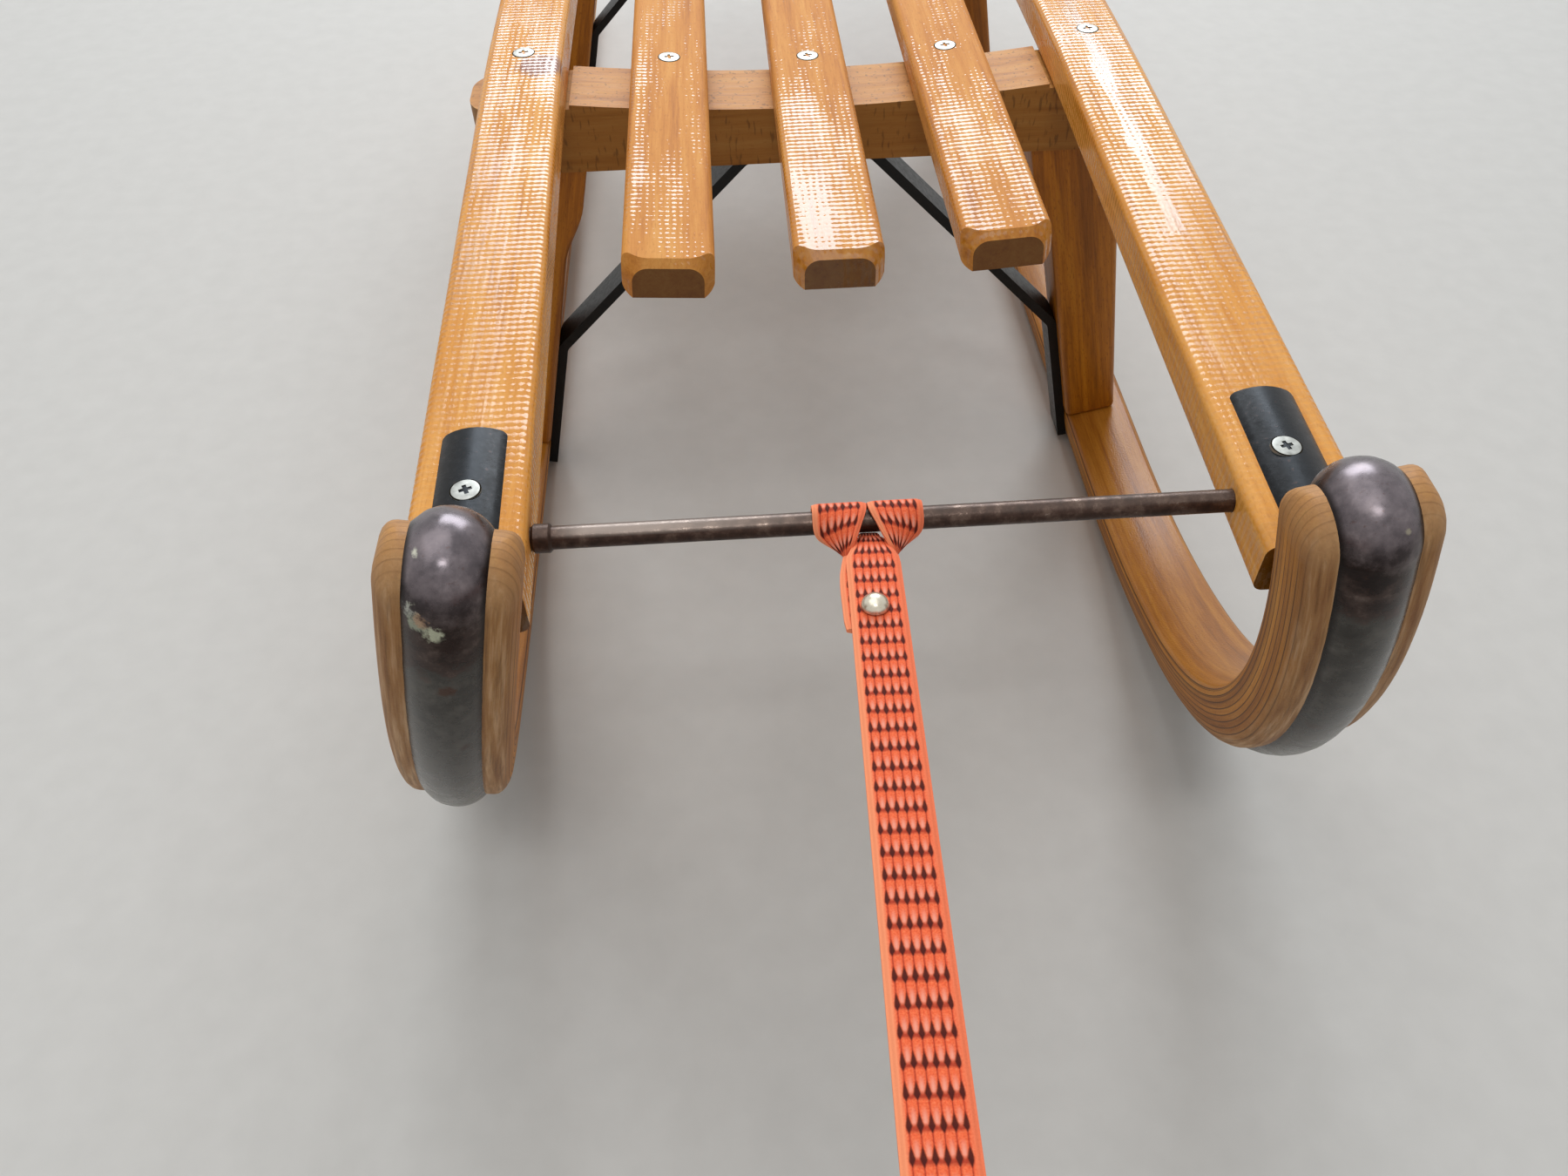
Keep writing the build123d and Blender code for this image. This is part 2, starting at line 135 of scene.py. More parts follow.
def settle(obj, matrix=None):
    # put the object's place into its mesh
    deselectAll()
    obj.data.transform(obj.matrix_world)
    obj.matrix_world = Matrix()
    if matrix is not None:
        obj.data.transform(matrix)
    obj.data.update()


def openAll(obj):
    # edit mode on this piece alone, all of it selected
    pickOnly(obj)
    bpy.ops.object.mode_set(mode="EDIT")
    bpy.ops.mesh.select_all(action="SELECT")


def outwards(obj):
    # joins doubled vertices and turns every face outwards
    openAll(obj)
    bpy.ops.mesh.remove_doubles(threshold=0.00001)
    bpy.ops.mesh.normals_make_consistent(inside=False)
    bpy.ops.object.mode_set(mode="OBJECT")


def extrude(x, y, z):
    bpy.ops.mesh.extrude_region_move(TRANSFORM_OT_translate={"value": (x, y, z)})


def smooth(obj, angle):
    pickOnly(obj)
    bpy.ops.object.shade_smooth_by_angle(angle=radians(angle))


def dress(obj, material):
    obj.data.materials.clear()
    obj.data.materials.append(material)


view = {
    "place": (-0.04113, -0.68785, 0.48586),
    "right": (0.99797564, -0.06158527, -0.01587075),
    "down": (-0.05646341, -0.74315846, -0.66672887),
    "ahead": (0.02926619, 0.66627529, -0.74513135),
    "lens": 27.324,  # mm
    "film": 36.0,  # mm, the picture's width
    "near": 0.01,
}
camera = addObject("camera", bpy.data.cameras.new("camera"))
camera.data.sensor_width = view["film"]
camera.data.lens = view["lens"]
camera.data.clip_start = view["near"]
turned = frameOf(Vector(view["right"]), -Vector(view["down"]), -Vector(view["ahead"]))
camera.matrix_world = Matrix.Translation(view["place"]) @ turned
bpy.context.scene.camera = camera
print("camera set")

# Woven nylon webbing: a dull sheen, raised floats in columns with dark dashes of a second yarn
# between their ends, and plain selvedges; a painted highlight on each float's crown, painted shade at its end and
# in the grooves between columns
webbing, add = newMaterial("wovenNylonWebbing")
weaveLook = {"column": 2.17, "row": 6.05, "field": 5.75}  # mm
weave = add("Attribute", attribute_name="weave")
apart = add("SeparateXYZ", [(weave, "Vector")])
waver = add("TexNoise", [(weave, "Vector"), 0.5, 1.0])
threads = add("TexNoise", [(weave, "Vector"), 2.2, 3.0])
columnAt = add("Math", [(apart, "X"), 1 / weaveLook["column"], 0.5], "MULTIPLY_ADD")
columnPart = add("Math", [columnAt], "FRACT")
columnAway = add("Math", [columnPart, 0.5], "SUBTRACT")
offColumn = add("Math", [columnAway], "ABSOLUTE")
rowAt = add("Math", [(apart, "Y"), 1 / weaveLook["row"]], "MULTIPLY")
rowLoose = add("Math", [waver, 0.14, rowAt], "MULTIPLY_ADD")
rowPart = add("Math", [rowLoose], "FRACT")
fromMiddle = add("Math", [(apart, "X")], "ABSOLUTE")
inField = add("MapRange", [fromMiddle, weaveLook["field"], weaveLook["field"] + 0.4, 1.0, 0.0])
# a dash is a long wedge between two floats
dashWide = add("MapRange", [rowPart, 0.30, 0.74, 0.0, 0.33])
dashShut = add("MapRange", [rowPart, 0.76, 1.02, 0.0, 0.33])
dashHalf = add("Math", [dashWide, dashShut], "SUBTRACT")
dashSide = add("Math", [0.5, offColumn], "SUBTRACT")
dashIn = add("Math", [dashHalf, dashSide], "SUBTRACT")
dashOne = add("MapRange", [dashIn, -0.06, 0.10])
dash = add("Math", [dashOne, inField], "MULTIPLY")
floatAcross = add("MapRange", [offColumn, 0.08, 0.34, 1.0, 0.0])
# painted highlight: each float is lighter along its crown
floatAlong = add("MapRange", [rowPart, 0.12, 0.5])
floatEnd = add("MapRange", [rowPart, 0.62, 0.78, 1.0, 0.0])
floatLitSpan = add("Math", [floatAlong, floatEnd], "MULTIPLY")
floatLitPatch = add("Math", [floatAcross, floatLitSpan], "MULTIPLY")
floatHighlight = add("Math", [floatLitPatch, inField], "MULTIPLY")
# painted shade where each float ends and tucks under
tuckShade = add("MapRange", [rowPart, 0.66, 0.80, 0.0, 0.75])
tuckShadeEnd = add("MapRange", [rowPart, 0.86, 0.98, 1.0, 0.0])
tuckShadeBoth = add("Math", [tuckShade, tuckShadeEnd], "MULTIPLY")
tuckShadeShown = add("Math", [tuckShadeBoth, inField], "MULTIPLY")
# painted shade in the grooves between the columns of floats
grooveShade = add("MapRange", [offColumn, 0.32, 0.47, 0.0, 0.6])
grooveShadeShown = add("Math", [grooveShade, inField], "MULTIPLY")
coral = add("ValToRGB", [threads], stops=((0.3, "e65a34"), (0.5, "f66e42"), (0.7, "fa8054")))
leftEdge = add("MapRange", [(apart, "X"), -5.7, -6.5, 0.0, 0.85])
edged = add("Mix", [leftEdge, coral, "fa9c70"])
rightEdge = add("MapRange", [(apart, "X"), 5.7, 6.5, 0.0, 0.7])
edgedBoth = add("Mix", [rightEdge, edged, "f0805a"])
floatHighlighted = add("Mix", [floatHighlight, edgedBoth, "f49c84"])
grooveShaded = add("Mix", [grooveShadeShown, floatHighlighted, "b83020"])
shaded = add("Mix", [tuckShadeShown, grooveShaded, "98261a"])
dashTone = add("Math", [dash, 0.94], "MULTIPLY")
strapColour = add("Mix", [dashTone, shaded, "3c0a04"])
ribHeight = add("Math", [threads, 0.3, floatAcross], "MULTIPLY_ADD")
weaveHeight = add("Math", [dash, -0.8, ribHeight], "MULTIPLY_ADD")
ribBump = add("Bump", {"Height": weaveHeight, "Strength": 0.5, "Distance": 0.0004})
add("OutputMaterial", [add("BsdfPrincipled", {
    "Base Color": strapColour, "Roughness": 0.75, "Specular IOR Level": 0.2, "Sheen Weight": 0.05,
    "Sheen Roughness": 0.4, "Normal": ribBump})])

strapLook = {
    "rod": (-0.0052, -0.4395, 0.2360),  # where the hitch sits on the pull rod
    "route": ((-0.0052, -0.4534, 0.2370), (-0.0078, -0.5190, 0.2434),
              (-0.0105, -0.5847, 0.2499), (-0.0131, -0.6503, 0.2563)),
    "length": 0.198, "width": 0.0155, "fold": 0.030, "rivet": 0.0225, "loopNeck": 0.030,
    "thickness": 0.002, "hitchThickness": 0.0017, "loopThickness": 0.00192,
    "selvedge": 0.8, "selvedgeThins": 0.5,  # from this share of the half width on, by this share of the thickness
}


def routeLine(points, steps):
    # the line that a NURBS spline draws from given points
    curve = bpy.data.curves.new("route", "CURVE")
    curve.dimensions = "3D"
    spline = curve.splines.new("NURBS")
    spline.points.add(len(points) - 1)
    for knot, place in zip(spline.points, points):
        knot.co = (*place, 1.0)
    spline.order_u = 3
    spline.use_endpoint_u = True
    spline.resolution_u = steps
    holder = addObject("route", curve)
    drawn = bpy.data.meshes.new_from_object(holder)
    line = [v.co.copy() for v in drawn.vertices]
    bpy.data.objects.remove(holder)
    bpy.data.meshes.remove(drawn)
    bpy.data.curves.remove(curve)
    return line


rodMiddle = Vector(strapLook["rod"])
half, thick = strapLook["width"] / 2, strapLook["thickness"]
strapLine = routeLine(strapLook["route"], 16)
ahead = (strapLine[-1] - strapLine[0]).normalized()
across = Vector((-ahead.y, ahead.x, 0)).normalized()
upward = ahead.cross(across)
throat = strapLine[0] - upward * thick / 2


def strapPoint(along, side, high):
    # a point seen from the throat: along the strap, to the right, above its middle
    return throat + ahead * along + across * side + upward * high


def hitchPoint(side, before, high):
    # a point in mm seen from the rod's middle: to the right, before it, above it
    return rodMiddle + Vector((side, -before, high)) / 1000


def makeBand(name, lines, thickness, alongStart=0.0):
    # a woven band through lines that run side by side, thinner at its selvedges; "weave" holds its own mm,
    # which start at alongStart
    columns, edgeFrom = 12, strapLook["selvedge"]
    grid = []
    for i in range(len(lines[0])):
        row = []
        for c in range(columns + 1):
            t = c / columns * (len(lines) - 1)
            j = min(int(t), len(lines) - 2)
            row.append(lines[j][i].lerp(lines[j + 1][i], t - j))
        grid.append(row)
    bm = bmesh.new()
    layer = bm.verts.layers.float_vector.new("weave")
    rings = []
    along = alongStart
    for i, row in enumerate(grid):
        if i:
            along += (row[columns // 2] - grid[i - 1][columns // 2]).length * 1000
        upper, lower = [], []
        for c, place in enumerate(row):
            run = grid[min(i + 1, len(grid) - 1)][c] - grid[max(i - 1, 0)][c]
            side = row[min(c + 1, columns)] - row[max(c - 1, 0)]
            normal = run.cross(side).normalized()
            w = 2 * c / columns - 1
            thinned = strapLook["selvedgeThins"] * max(0, abs(w) - edgeFrom) / (1 - edgeFrom)
            rise = normal * thickness / 2 * (1 - thinned)
            for group, spot in ((upper, place + rise), (lower, place - rise)):
                vert = bm.verts.new(spot)
                vert[layer] = (w * half * 1000, along, 0)
                group.append(vert)
        rings.append(upper + lower[::-1])
    size = len(rings[0])
    for a, b in zip(rings, rings[1:]):
        for i in range(size):
            bm.faces.new((a[i], a[(i + 1) % size], b[(i + 1) % size], b[i]))
    for ring in (rings[0], rings[-1]):
        for c in range(columns):
            bm.faces.new((ring[c], ring[c + 1], ring[size - 2 - c], ring[size - 1 - c]))
    bmesh.ops.recalc_face_normals(bm, faces=bm.faces)
    mesh = bpy.data.meshes.new(name)
    bm.to_mesh(mesh)
    bm.free()
    obj = addObject(name, mesh)
    dress(obj, webbing)
    smooth(obj, 50)
    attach(obj, "root")
    return obj


def tapered(shape, side):
    # one selvedge, from points in mm seen from the throat: (along, half the width, above)
    return [strapPoint(a / 1000, side * w / 1000, h / 1000) for a, w, h in shape]


# Upper layer: a narrow tongue from under the hitch, full width from the throat on
tongue = ((-9.0, 3.2, -1.6), (-7.4, 4.2, -0.8), (-5.6, 5.0, -0.2), (-3.6, 5.4, 0.3), (-1.8, 5.8, 0.75),
          (0.0, 6.5, 0.98), (2.4, 7.5, 1.0))
leftLine = tapered(tongue, -1) + [p - across * half for p in strapLine[1:]]
rightLine = tapered(tongue, 1) + [p + across * half for p in strapLine[1:]]
strap = makeBand("strapBand", (leftLine, rightLine), thick)
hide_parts("strap")

# Lower layer: the riveted fold. It comes from under the rod and shows a little at the left of the upper one
foldRoot = ((-12.2, 3.0, -3.2), (-10.8, 3.2, -2.4), (-9.2, 3.4, -3.6), (-7.0, 3.6, -3.2), (-5.0, 4.2, -2.7),
            (-3.4, 5.0, -2.1), (-1.4, 6.4, -1.4))
foldLine = [strapPoint(strapLook["fold"] * s / 8, 0, -thick / 2) for s in range(9)]
foldPeep = (0.0006, 0.0013, 0.0019, 0.0021, 0.0021, 0.0020, 0.0019, 0.0018, 0.0013)  # past the upper layer, left
foldTuck = 0.0018  # under the upper layer, right
foldLeft = tapered(foldRoot, -1) + [p - across * (half + out) for p, out in zip(foldLine, foldPeep)]
foldRight = tapered(foldRoot, 1) + [p + across * (half - foldTuck) for p in foldLine]
fold = makeBand("strapFold", (foldLeft, foldRight), thick, alongStart=2.0)
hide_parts("strap_fold")

# Hitch: the band passes over the rod twice, side by side, and closes in to the throat. Points are in mm,
# from the inner selvedge to the outer one: (to the side, before the rod, above its middle)
turnCore = 5.25  # control points stand off the rod's middle by this much
turnArc = [(turnCore * cos(radians(a)), turnCore * sin(radians(a))) for a in (-100, -130, -160, 180, 135, 90)]
turnLook = (
    (0.2, ((1.0, 2.4, 4.7), (2.0, 4.6, 4.1), (3.3, 8.0, 3.0), (4.4, 10.3, 2.2), (5.6, 12.0, 1.1),
           (6.5, 13.2, -0.4), (6.6, 14.6, -1.5))),
    (5.6, ((6.0, 3.3, 4.7), (6.8, 5.8, 3.9), (7.1, 8.4, 2.4), (7.1, 10.4, 1.0), (6.9, 12.2, -0.3),
           (6.6, 13.4, -1.2), (6.4, 14.6, -1.9))),
    (11.0, ((11.2, 3.9, 4.0), (11.2, 6.0, 2.2), (9.9, 8.4, 0.6), (8.5, 10.4, -0.7), (7.3, 12.0, -1.6),
            (6.7, 13.2, -2.1), (6.2, 14.6, -2.4))),
    (16.3, ((16.3, 4.4, 1.8), (15.3, 5.4, -1.0), (12.5, 6.8, -2.3), (9.8, 8.8, -2.7), (7.6, 11.0, -2.8),
            (6.6, 12.8, -2.8), (6.0, 14.6, -2.9))),
)
for side, name in ((-1, "hitchTurnLeft"), (1, "hitchTurnRight")):
    lines = []
    for start, leaving in turnLook:
        points = [hitchPoint(side * start, before, high) for before, high in turnArc]
        points += [hitchPoint(side * x, before, high) for x, before, high in leaving]
        lines.append(routeLine(points, 8))
    turn = makeBand(name, lines if side > 0 else lines[::-1], strapLook["hitchThickness"], alongStart=1.6)
    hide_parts("strap_hitch")

# Hand loop: two layers riveted, then one layer in a teardrop; points in mm past the strap's end, and above
loopRoute = ((0, 1), (16, 1), (30, 1), (48, 6), (70, 17), (90, 25.5), (110, 24), (120.5, 10),
             (120.5, -10), (110, -24), (90, -25.5), (70, -17), (48, -6), (30, -1), (16, -1), (0, -1))
loopLine = routeLine([strapPoint(strapLook["length"] + a / 1000, 0, h / 1000) for a, h in loopRoute], 8)
handLoop = makeBand("handLoopBand", ([p - across * half for p in loopLine], [p + across * half for p in loopLine]),
                    strapLook["loopThickness"], alongStart=strapLook["length"] * 1000)
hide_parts("hand_loop")
print("strap woven")

# Nickel-plated rivet: a smooth, slightly dulled dome with a soft rim
nickel, add = newMaterial("nickelPlatedRivet")
where = add("TexCoord")
scuff = add("TexNoise", [(where, "Object"), 260.0, 3.0])
tone = add("ValToRGB", [scuff], stops=((0.35, "c0b9a7"), (0.6, "d2ccbb")))
dull = add("MapRange", [scuff, 0.3, 0.8, 0.26, 0.36])
add("OutputMaterial", [add("BsdfPrincipled", {"Base Color": tone, "Metallic": 0.9, "Roughness": dull})])

rivetLook = {"radius": 0.0039, "rise": 0.0038, "rim": 0.0003, "washer": 0.0008}
rivetPlaces = (
    # along the strap, to its right, name and node; the hitch's one sits a little off the band's middle
    (strapLook["rivet"] + 0.0014, -0.0010, "rivetDomeHitch", "strap_rivet"),
    (strapLook["length"] + strapLook["loopNeck"] / 2, 0, "rivetDomeLoop", "hand_loop_rivet"),
)
for along, aside, name, node in rivetPlaces:
    bpy.ops.mesh.primitive_uv_sphere_add(segments=40, ring_count=24, radius=rivetLook["radius"])
    dome = justMade(name)
    openAll(dome)
    bpy.ops.mesh.bisect(plane_co=(0, 0, 0), plane_no=(0, 0, 1), clear_inner=True, use_fill=True)
    bpy.ops.mesh.select_all(action="SELECT")
    bpy.ops.transform.resize(value=(1, 1, (rivetLook["rise"] - rivetLook["rim"]) / rivetLook["radius"]))
    editPick(dome, lambda v: v.co.z < 1e-6)
    extrude(0, 0, -rivetLook["rim"])
    bpy.ops.object.mode_set(mode="OBJECT")
    top = frameOf(across, -ahead, upward)
    settle(dome, Matrix.Translation(strapPoint(along, aside, thick + rivetLook["rim"])) @ top)
    bpy.ops.mesh.primitive_cylinder_add(vertices=40, radius=rivetLook["radius"], depth=rivetLook["washer"])
    washer = justMade(name + "Washer")
    settle(washer, Matrix.Translation(strapPoint(along, aside, -thick - rivetLook["washer"] / 2)) @ top)
    pickOnly(dome)
    washer.select_set(True)
    bpy.ops.object.join()
    outwards(dome)
    smooth(dome, 40)
    dress(dome, nickel)
    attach(dome, "root")
    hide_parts(node)
print("rivets set")


cadNode = {o.name: o for o in bpy.data.objects if o.type == "MESH"}
lean = radians(12.8)


def beechGrain(add, source, turn, tones, fleck):
    # the grain in mm, fibres along Y: tone bands 5 mm wide, fibres 1 mm with finer ones in them, and pores
    # of 0.7 by 3 mm, which is twice the real size, so that they show
    mm = add("Mapping", {"Vector": source, "Rotation": turn, "Scale": (1000, 1000, 1000)})
    bandAt = add("Mapping", {"Vector": mm, "Scale": (0.2, 0.008, 0.2)})
    band = add("TexNoise", {"Vector": bandAt, "Scale": 1.0, "Detail": 4.0, "Roughness": 0.6, "Distortion": 0.4})
    fibreAt = add("Mapping", {"Vector": mm, "Scale": (0.95, 0.045, 0.95)})
    fibre = add("TexNoise", [fibreAt, 1.0, 4.0, 0.65])
    poreAt = add("Mapping", {"Vector": mm, "Scale": (1.4, 0.3, 1.4)})
    pores = add("TexNoise", [poreAt, 1.0, 2.0])
    fine = add("Math", [fibre, 0.5, -0.25], "MULTIPLY_ADD")
    toneSum = add("Math", [band, fine], "ADD")
    base = add("ValToRGB", [toneSum], stops=tuple(zip((0.25, 0.42, 0.58, 0.78), tones)))
    poreDark = add("MapRange", [pores, 0.58, 0.70, 0.0, fleck])
    grained = add("Mix", [poreDark, base, tones[0]])
    return mm, grained, fibre


# Slats: beech, planed and spray-varnished. The varnish shines where it lies flat, and the planer's marks,
# the fibres and the pores break its shine into rows of bright specks. The marks are 2.1 mm apart on the real
# one and 3.1 mm here, so that they show
innerTones = ("ac661a", "c87f28", "d48e38", "de9e4a")
outerTones = ("b67020", "d28a2e", "de9a42", "e8aa58")
slatLook = {
    # shine: how much of it is glossy; fade: how much less behind the crossbeam; shift: of the grain, in mm;
    # ribbon: x, half width, front y, rear y and strength of a fully glossy stretch, and its slant
    "slat_1_outer_left": {"tones": outerTones, "shine": -0.04, "fade": 0.05, "shift": 10.0,
                          "ribbon": (-0.1225, 0.0022, -0.40, -0.20, 0.12), "slant": -0.0285},
    "slat_2_left": {"tones": innerTones, "shine": -0.50, "fade": 0.10, "shift": 37.0,
                    "ribbon": (-0.0770, 0.0036, -0.25, -0.15, 0.30), "slant": 0.0},
    "slat_3_middle": {"tones": innerTones, "shine": -0.09, "fade": 0.50, "shift": 61.0,
                      "ribbon": (-0.0068, 0.0062, -0.306, -0.25, 0.45), "slant": 0.0},
    "slat_4_right": {"tones": innerTones, "shine": -0.20, "fade": 0.35, "shift": 82.0,
                     "ribbon": (0.0600, 0.0026, -0.30, -0.12, 0.10), "slant": 0.0},
    "slat_5_outer_right": {"tones": outerTones, "shine": -0.02, "fade": -0.05, "shift": 105.0,
                           "ribbon": (0.1285, 0.0028, -0.31, 0.05, 0.45), "slant": 0.0285},
}
stainLook = {"place": (-0.1215, -0.1490, 0.245), "edge": (0.015, 0.020)}
for node, look in slatLook.items():
    made, add = newMaterial("varnishedBeech" + node.title().replace("_", ""))
    where = add("TexCoord")
    spotXYZ = add("SeparateXYZ", [(where, "Object")])
    shifted = add("VectorMath", [(where, "Object"), (look["shift"] / 1000, 0, 0)], "ADD")
    mm, grained, fibre = beechGrain(add, shifted, (0, 0, 0), look["tones"], 0.4)
    # the ends facing along the slat are darker: end grain, and painted shade
    facing = add("SeparateXYZ", [(where, "Normal")])
    endOn = add("Math", [(facing, "Y")], "ABSOLUTE")
    endGrainAndShade = add("MapRange", [endOn, 0.5, 0.95, 0.0, 0.8])
    colour = add("Mix", [endGrainAndShade, grained, "3e2408"])
    if node == "slat_1_outer_left":
        # one purplish spill beside the screw
        spot = add("VectorMath", [(where, "Object"), stainLook["place"]], "DISTANCE")
        ragged = add("Math", [fibre, 0.014, (spot, "Value")], "MULTIPLY_ADD")
        spill = add("MapRange", [ragged, *stainLook["edge"], 0.8, 0.0])
        colour = add("Mix", [spill, colour, "6b3a3c"])
    patchAt = add("Mapping", {"Vector": mm, "Scale": (0.07, 0.018, 0.07)})
    patch = add("TexNoise", [patchAt, 1.0, 2.0, 0.5])
    streakAt = add("Mapping", {"Vector": mm, "Scale": (0.4, 0.03, 0.4)})
    streak = add("TexNoise", [streakAt, 1.0, 2.0])
    rows = add("TexWave", [mm, 0.101, 1.0, 2.0, 1.4], wave_type="BANDS", bands_direction="Y")
    files = add("TexWave", [mm, 0.12, 2.2, 1.0, 0.9], wave_type="BANDS", bands_direction="X")
    fleckAt = add("Mapping", {"Vector": mm, "Scale": (0.8, 0.6, 0.8)})
    fleck = add("TexNoise", [fleckAt, 1.0, 2.0])
    rowShare = add("Math", [(rows, "Fac"), 0.8, -0.4], "MULTIPLY_ADD")
    fileShare = add("Math", [(files, "Fac"), 0.35, rowShare], "MULTIPLY_ADD")
    mesh = add("Math", [fleck, 1.0, fileShare], "MULTIPLY_ADD")
    patchShare = add("Math", [patch, 1.6, look["shine"] - 0.8], "MULTIPLY_ADD")
    fade = add("MapRange", [(spotXYZ, "Y"), -0.21, -0.15, 0.0, -look["fade"]])
    faded = add("Math", [patchShare, fade], "ADD")
    level = add("Math", [streak, 0.6, faded], "MULTIPLY_ADD")
    ribbonX, ribbonHalf, ribbonFront, ribbonRear, ribbonShare = look["ribbon"]
    slanted = add("Math", [(spotXYZ, "Y"), -look["slant"], (spotXYZ, "X")], "MULTIPLY_ADD")
    loose = add("Math", [streak, 0.010, slanted], "MULTIPLY_ADD")
    fromRibbon = add("Math", [loose, ribbonX + 0.005 - look["slant"] * (ribbonFront + ribbonRear) / 2], "SUBTRACT")
    besideRibbon = add("Math", [fromRibbon], "ABSOLUTE")
    inRibbon = add("MapRange", [besideRibbon, ribbonHalf * 0.8, ribbonHalf * 1.3, ribbonShare, 0.0])
    ribbonOn = add("MapRange", [(spotXYZ, "Y"), ribbonFront, ribbonFront + 0.003])
    ribbonOff = add("MapRange", [(spotXYZ, "Y"), ribbonRear, ribbonRear + 0.03, 1.0, 0.0])
    ribbonRun = add("Math", [ribbonOn, ribbonOff], "MULTIPLY")
    ribbon = add("Math", [inRibbon, ribbonRun, level], "MULTIPLY_ADD")
    shine = add("Math", [mesh, ribbon], "ADD")
    glossy = add("MapRange", [shine, 0.95, 1.06])
    relief = add("Math", [mesh, 0.35, fibre], "MULTIPLY_ADD")
    bump = add("Bump", {"Height": relief, "Strength": 0.4, "Distance": 0.00014})
    rough = add("MapRange", [glossy, 0.0, 1.0, 0.72, 0.1])
    # on the seat's top, the colour is painted darker under the highlights: partly the deeper tone of flat varnish,
    # partly to cool the highlights' colour
    seatOn = add("MapRange", [(spotXYZ, "Y"), -0.40, -0.30, 0.0, 0.4])
    topOn = add("MapRange", [(facing, "Z"), 0.93, 0.98])
    seatTop = add("Math", [seatOn, topOn], "MULTIPLY")
    deepUnderHighlight = add("Math", [glossy, seatTop], "MULTIPLY")
    deepenedUnderHighlight = add("Mix", [deepUnderHighlight, colour, "8a5a34"])
    add("OutputMaterial", [add("BsdfPrincipled", {
        "Base Color": deepenedUnderHighlight, "Roughness": rough, "IOR": 1.5, "Normal": bump})])
    dress(cadNode[node], made)

# Crossbeams: planed beech, thinly varnished, with short dark ray flecks on the sawn front and painted shade on
# their upright faces
beamBeech, add = newMaterial("varnishedBeechCrossbeam")
where = add("TexCoord")
beamTones = ("9a6222", "b87c34", "c48a42", "cd9850")
mm, grained, fibre = beechGrain(add, (where, "Object"), (0, 0, pi / 2), beamTones, 0.35)
facing = add("SeparateXYZ", [(where, "Normal")])
# painted shade: the faces that stand upright are darker than the top
sideOn = add("Math", [(facing, "Z")], "ABSOLUTE")
sidePaintedShade = add("MapRange", [sideOn, 0.3, 0.7, 0.6, 0.0])
sideShaded = add("Mix", [sidePaintedShade, grained, "6e4410"])
rayAt = add("Mapping", {"Vector": mm, "Scale": (0.9, 0.9, 0.22)})
ray = add("TexNoise", [rayAt, 0.6, 1.0])
rayDark = add("MapRange", [ray, 0.62, 0.70, 0.0, 0.5])
flecked = add("Mix", [rayDark, sideShaded, "4a2c08"])
bump = add("Bump", {"Height": fibre, "Strength": 0.4, "Distance": 0.0002})
rough = add("MapRange", [fibre, 0.3, 0.7, 0.45, 0.58])
add("OutputMaterial", [add("BsdfPrincipled", {
    "Base Color": flecked, "Roughness": rough, "IOR": 1.45, "Specular IOR Level": 0.3, "Normal": bump})])
for node in ("crossbeam_front", "crossbeam_rear"):
    dress(cadNode[node], beamBeech)

# Legs: the same beech with its fibres up the leg, in long fine streaks
legBeech = {}
legTones = ("7a460a", "965810", "ae6a14", "bc7a1e")
for side, hand in ((-1, "left"), (1, "right")):
    made, add = newMaterial("varnishedBeechLeg" + hand.title())
    where = add("TexCoord")
    mm, grained, fibre = beechGrain(add, (where, "Object"), (-pi / 2, 0, -side * lean), legTones, 0.6)
    bump = add("Bump", {"Height": fibre, "Strength": 0.5, "Distance": 0.0003})
    add("OutputMaterial", [add("BsdfPrincipled", {
        "Base Color": grained, "Roughness": 0.4, "IOR": 1.5, "Specular IOR Level": 0.3, "Normal": bump})])
    legBeech[side] = made
print("beech planed")


runnerLook = {
    "spacing": 0.340, "width": 0.036, "thickness": 0.024, "tail": 0.5, "heel": 0.010,
    "topRound": 0.003, "bottomRound": 0.0055, "tipNarrow": 0.37, "longRadius": 0.35, "longAngle": radians(25),
    "aboveSeat": 0.015, "horn": 0.037, "seat": 0.245, "nose": -0.5, "rail": 0.005, "railWidth": 0.020,
}
r = runnerLook
arcR = ((r["railWidth"] / 2) ** 2 + r["rail"] ** 2) / (2 * r["rail"])
topZ = (r["thickness"] + r["rail"] - arcR) * cos(lean) + arcR
seatRise = (r["seat"] - topZ) / cos(lean)
upright = seatRise + r["aboveSeat"]
tipRise = seatRise + r["horn"]
tipRadius = r["thickness"] / 2
hornBack = r["nose"] + r["rail"] + r["thickness"]
bigR = (upright - r["longRadius"] * (1 - cos(r["longAngle"]))) / cos(r["longAngle"])
bendStart = hornBack + bigR * (1 - sin(r["longAngle"])) + r["longRadius"] * sin(r["longAngle"])


def runCoordinates(y, rise):
    # distance along the runner and depth below its top, in metres
    if y >= bendStart:
        return bendStart - y, -rise
    lowCentre = Vector((bendStart, r["longRadius"]))
    highCentre = Vector((hornBack + bigR, upright))
    here = Vector((y, rise))
    lowAngle = atan2(lowCentre.x - here.x, lowCentre.y - here.y)
    if lowAngle <= r["longAngle"]:
        return r["longRadius"] * lowAngle, (here - lowCentre).length - r["longRadius"]
    straight = r["longRadius"] * r["longAngle"]
    if rise < upright:
        highAngle = atan2(highCentre.x - here.x, highCentre.y - here.y)
        return straight + bigR * (highAngle - r["longAngle"]), (here - highCentre).length - bigR
    return straight + bigR * (pi / 2 - r["longAngle"]) + rise - upright, hornBack - y


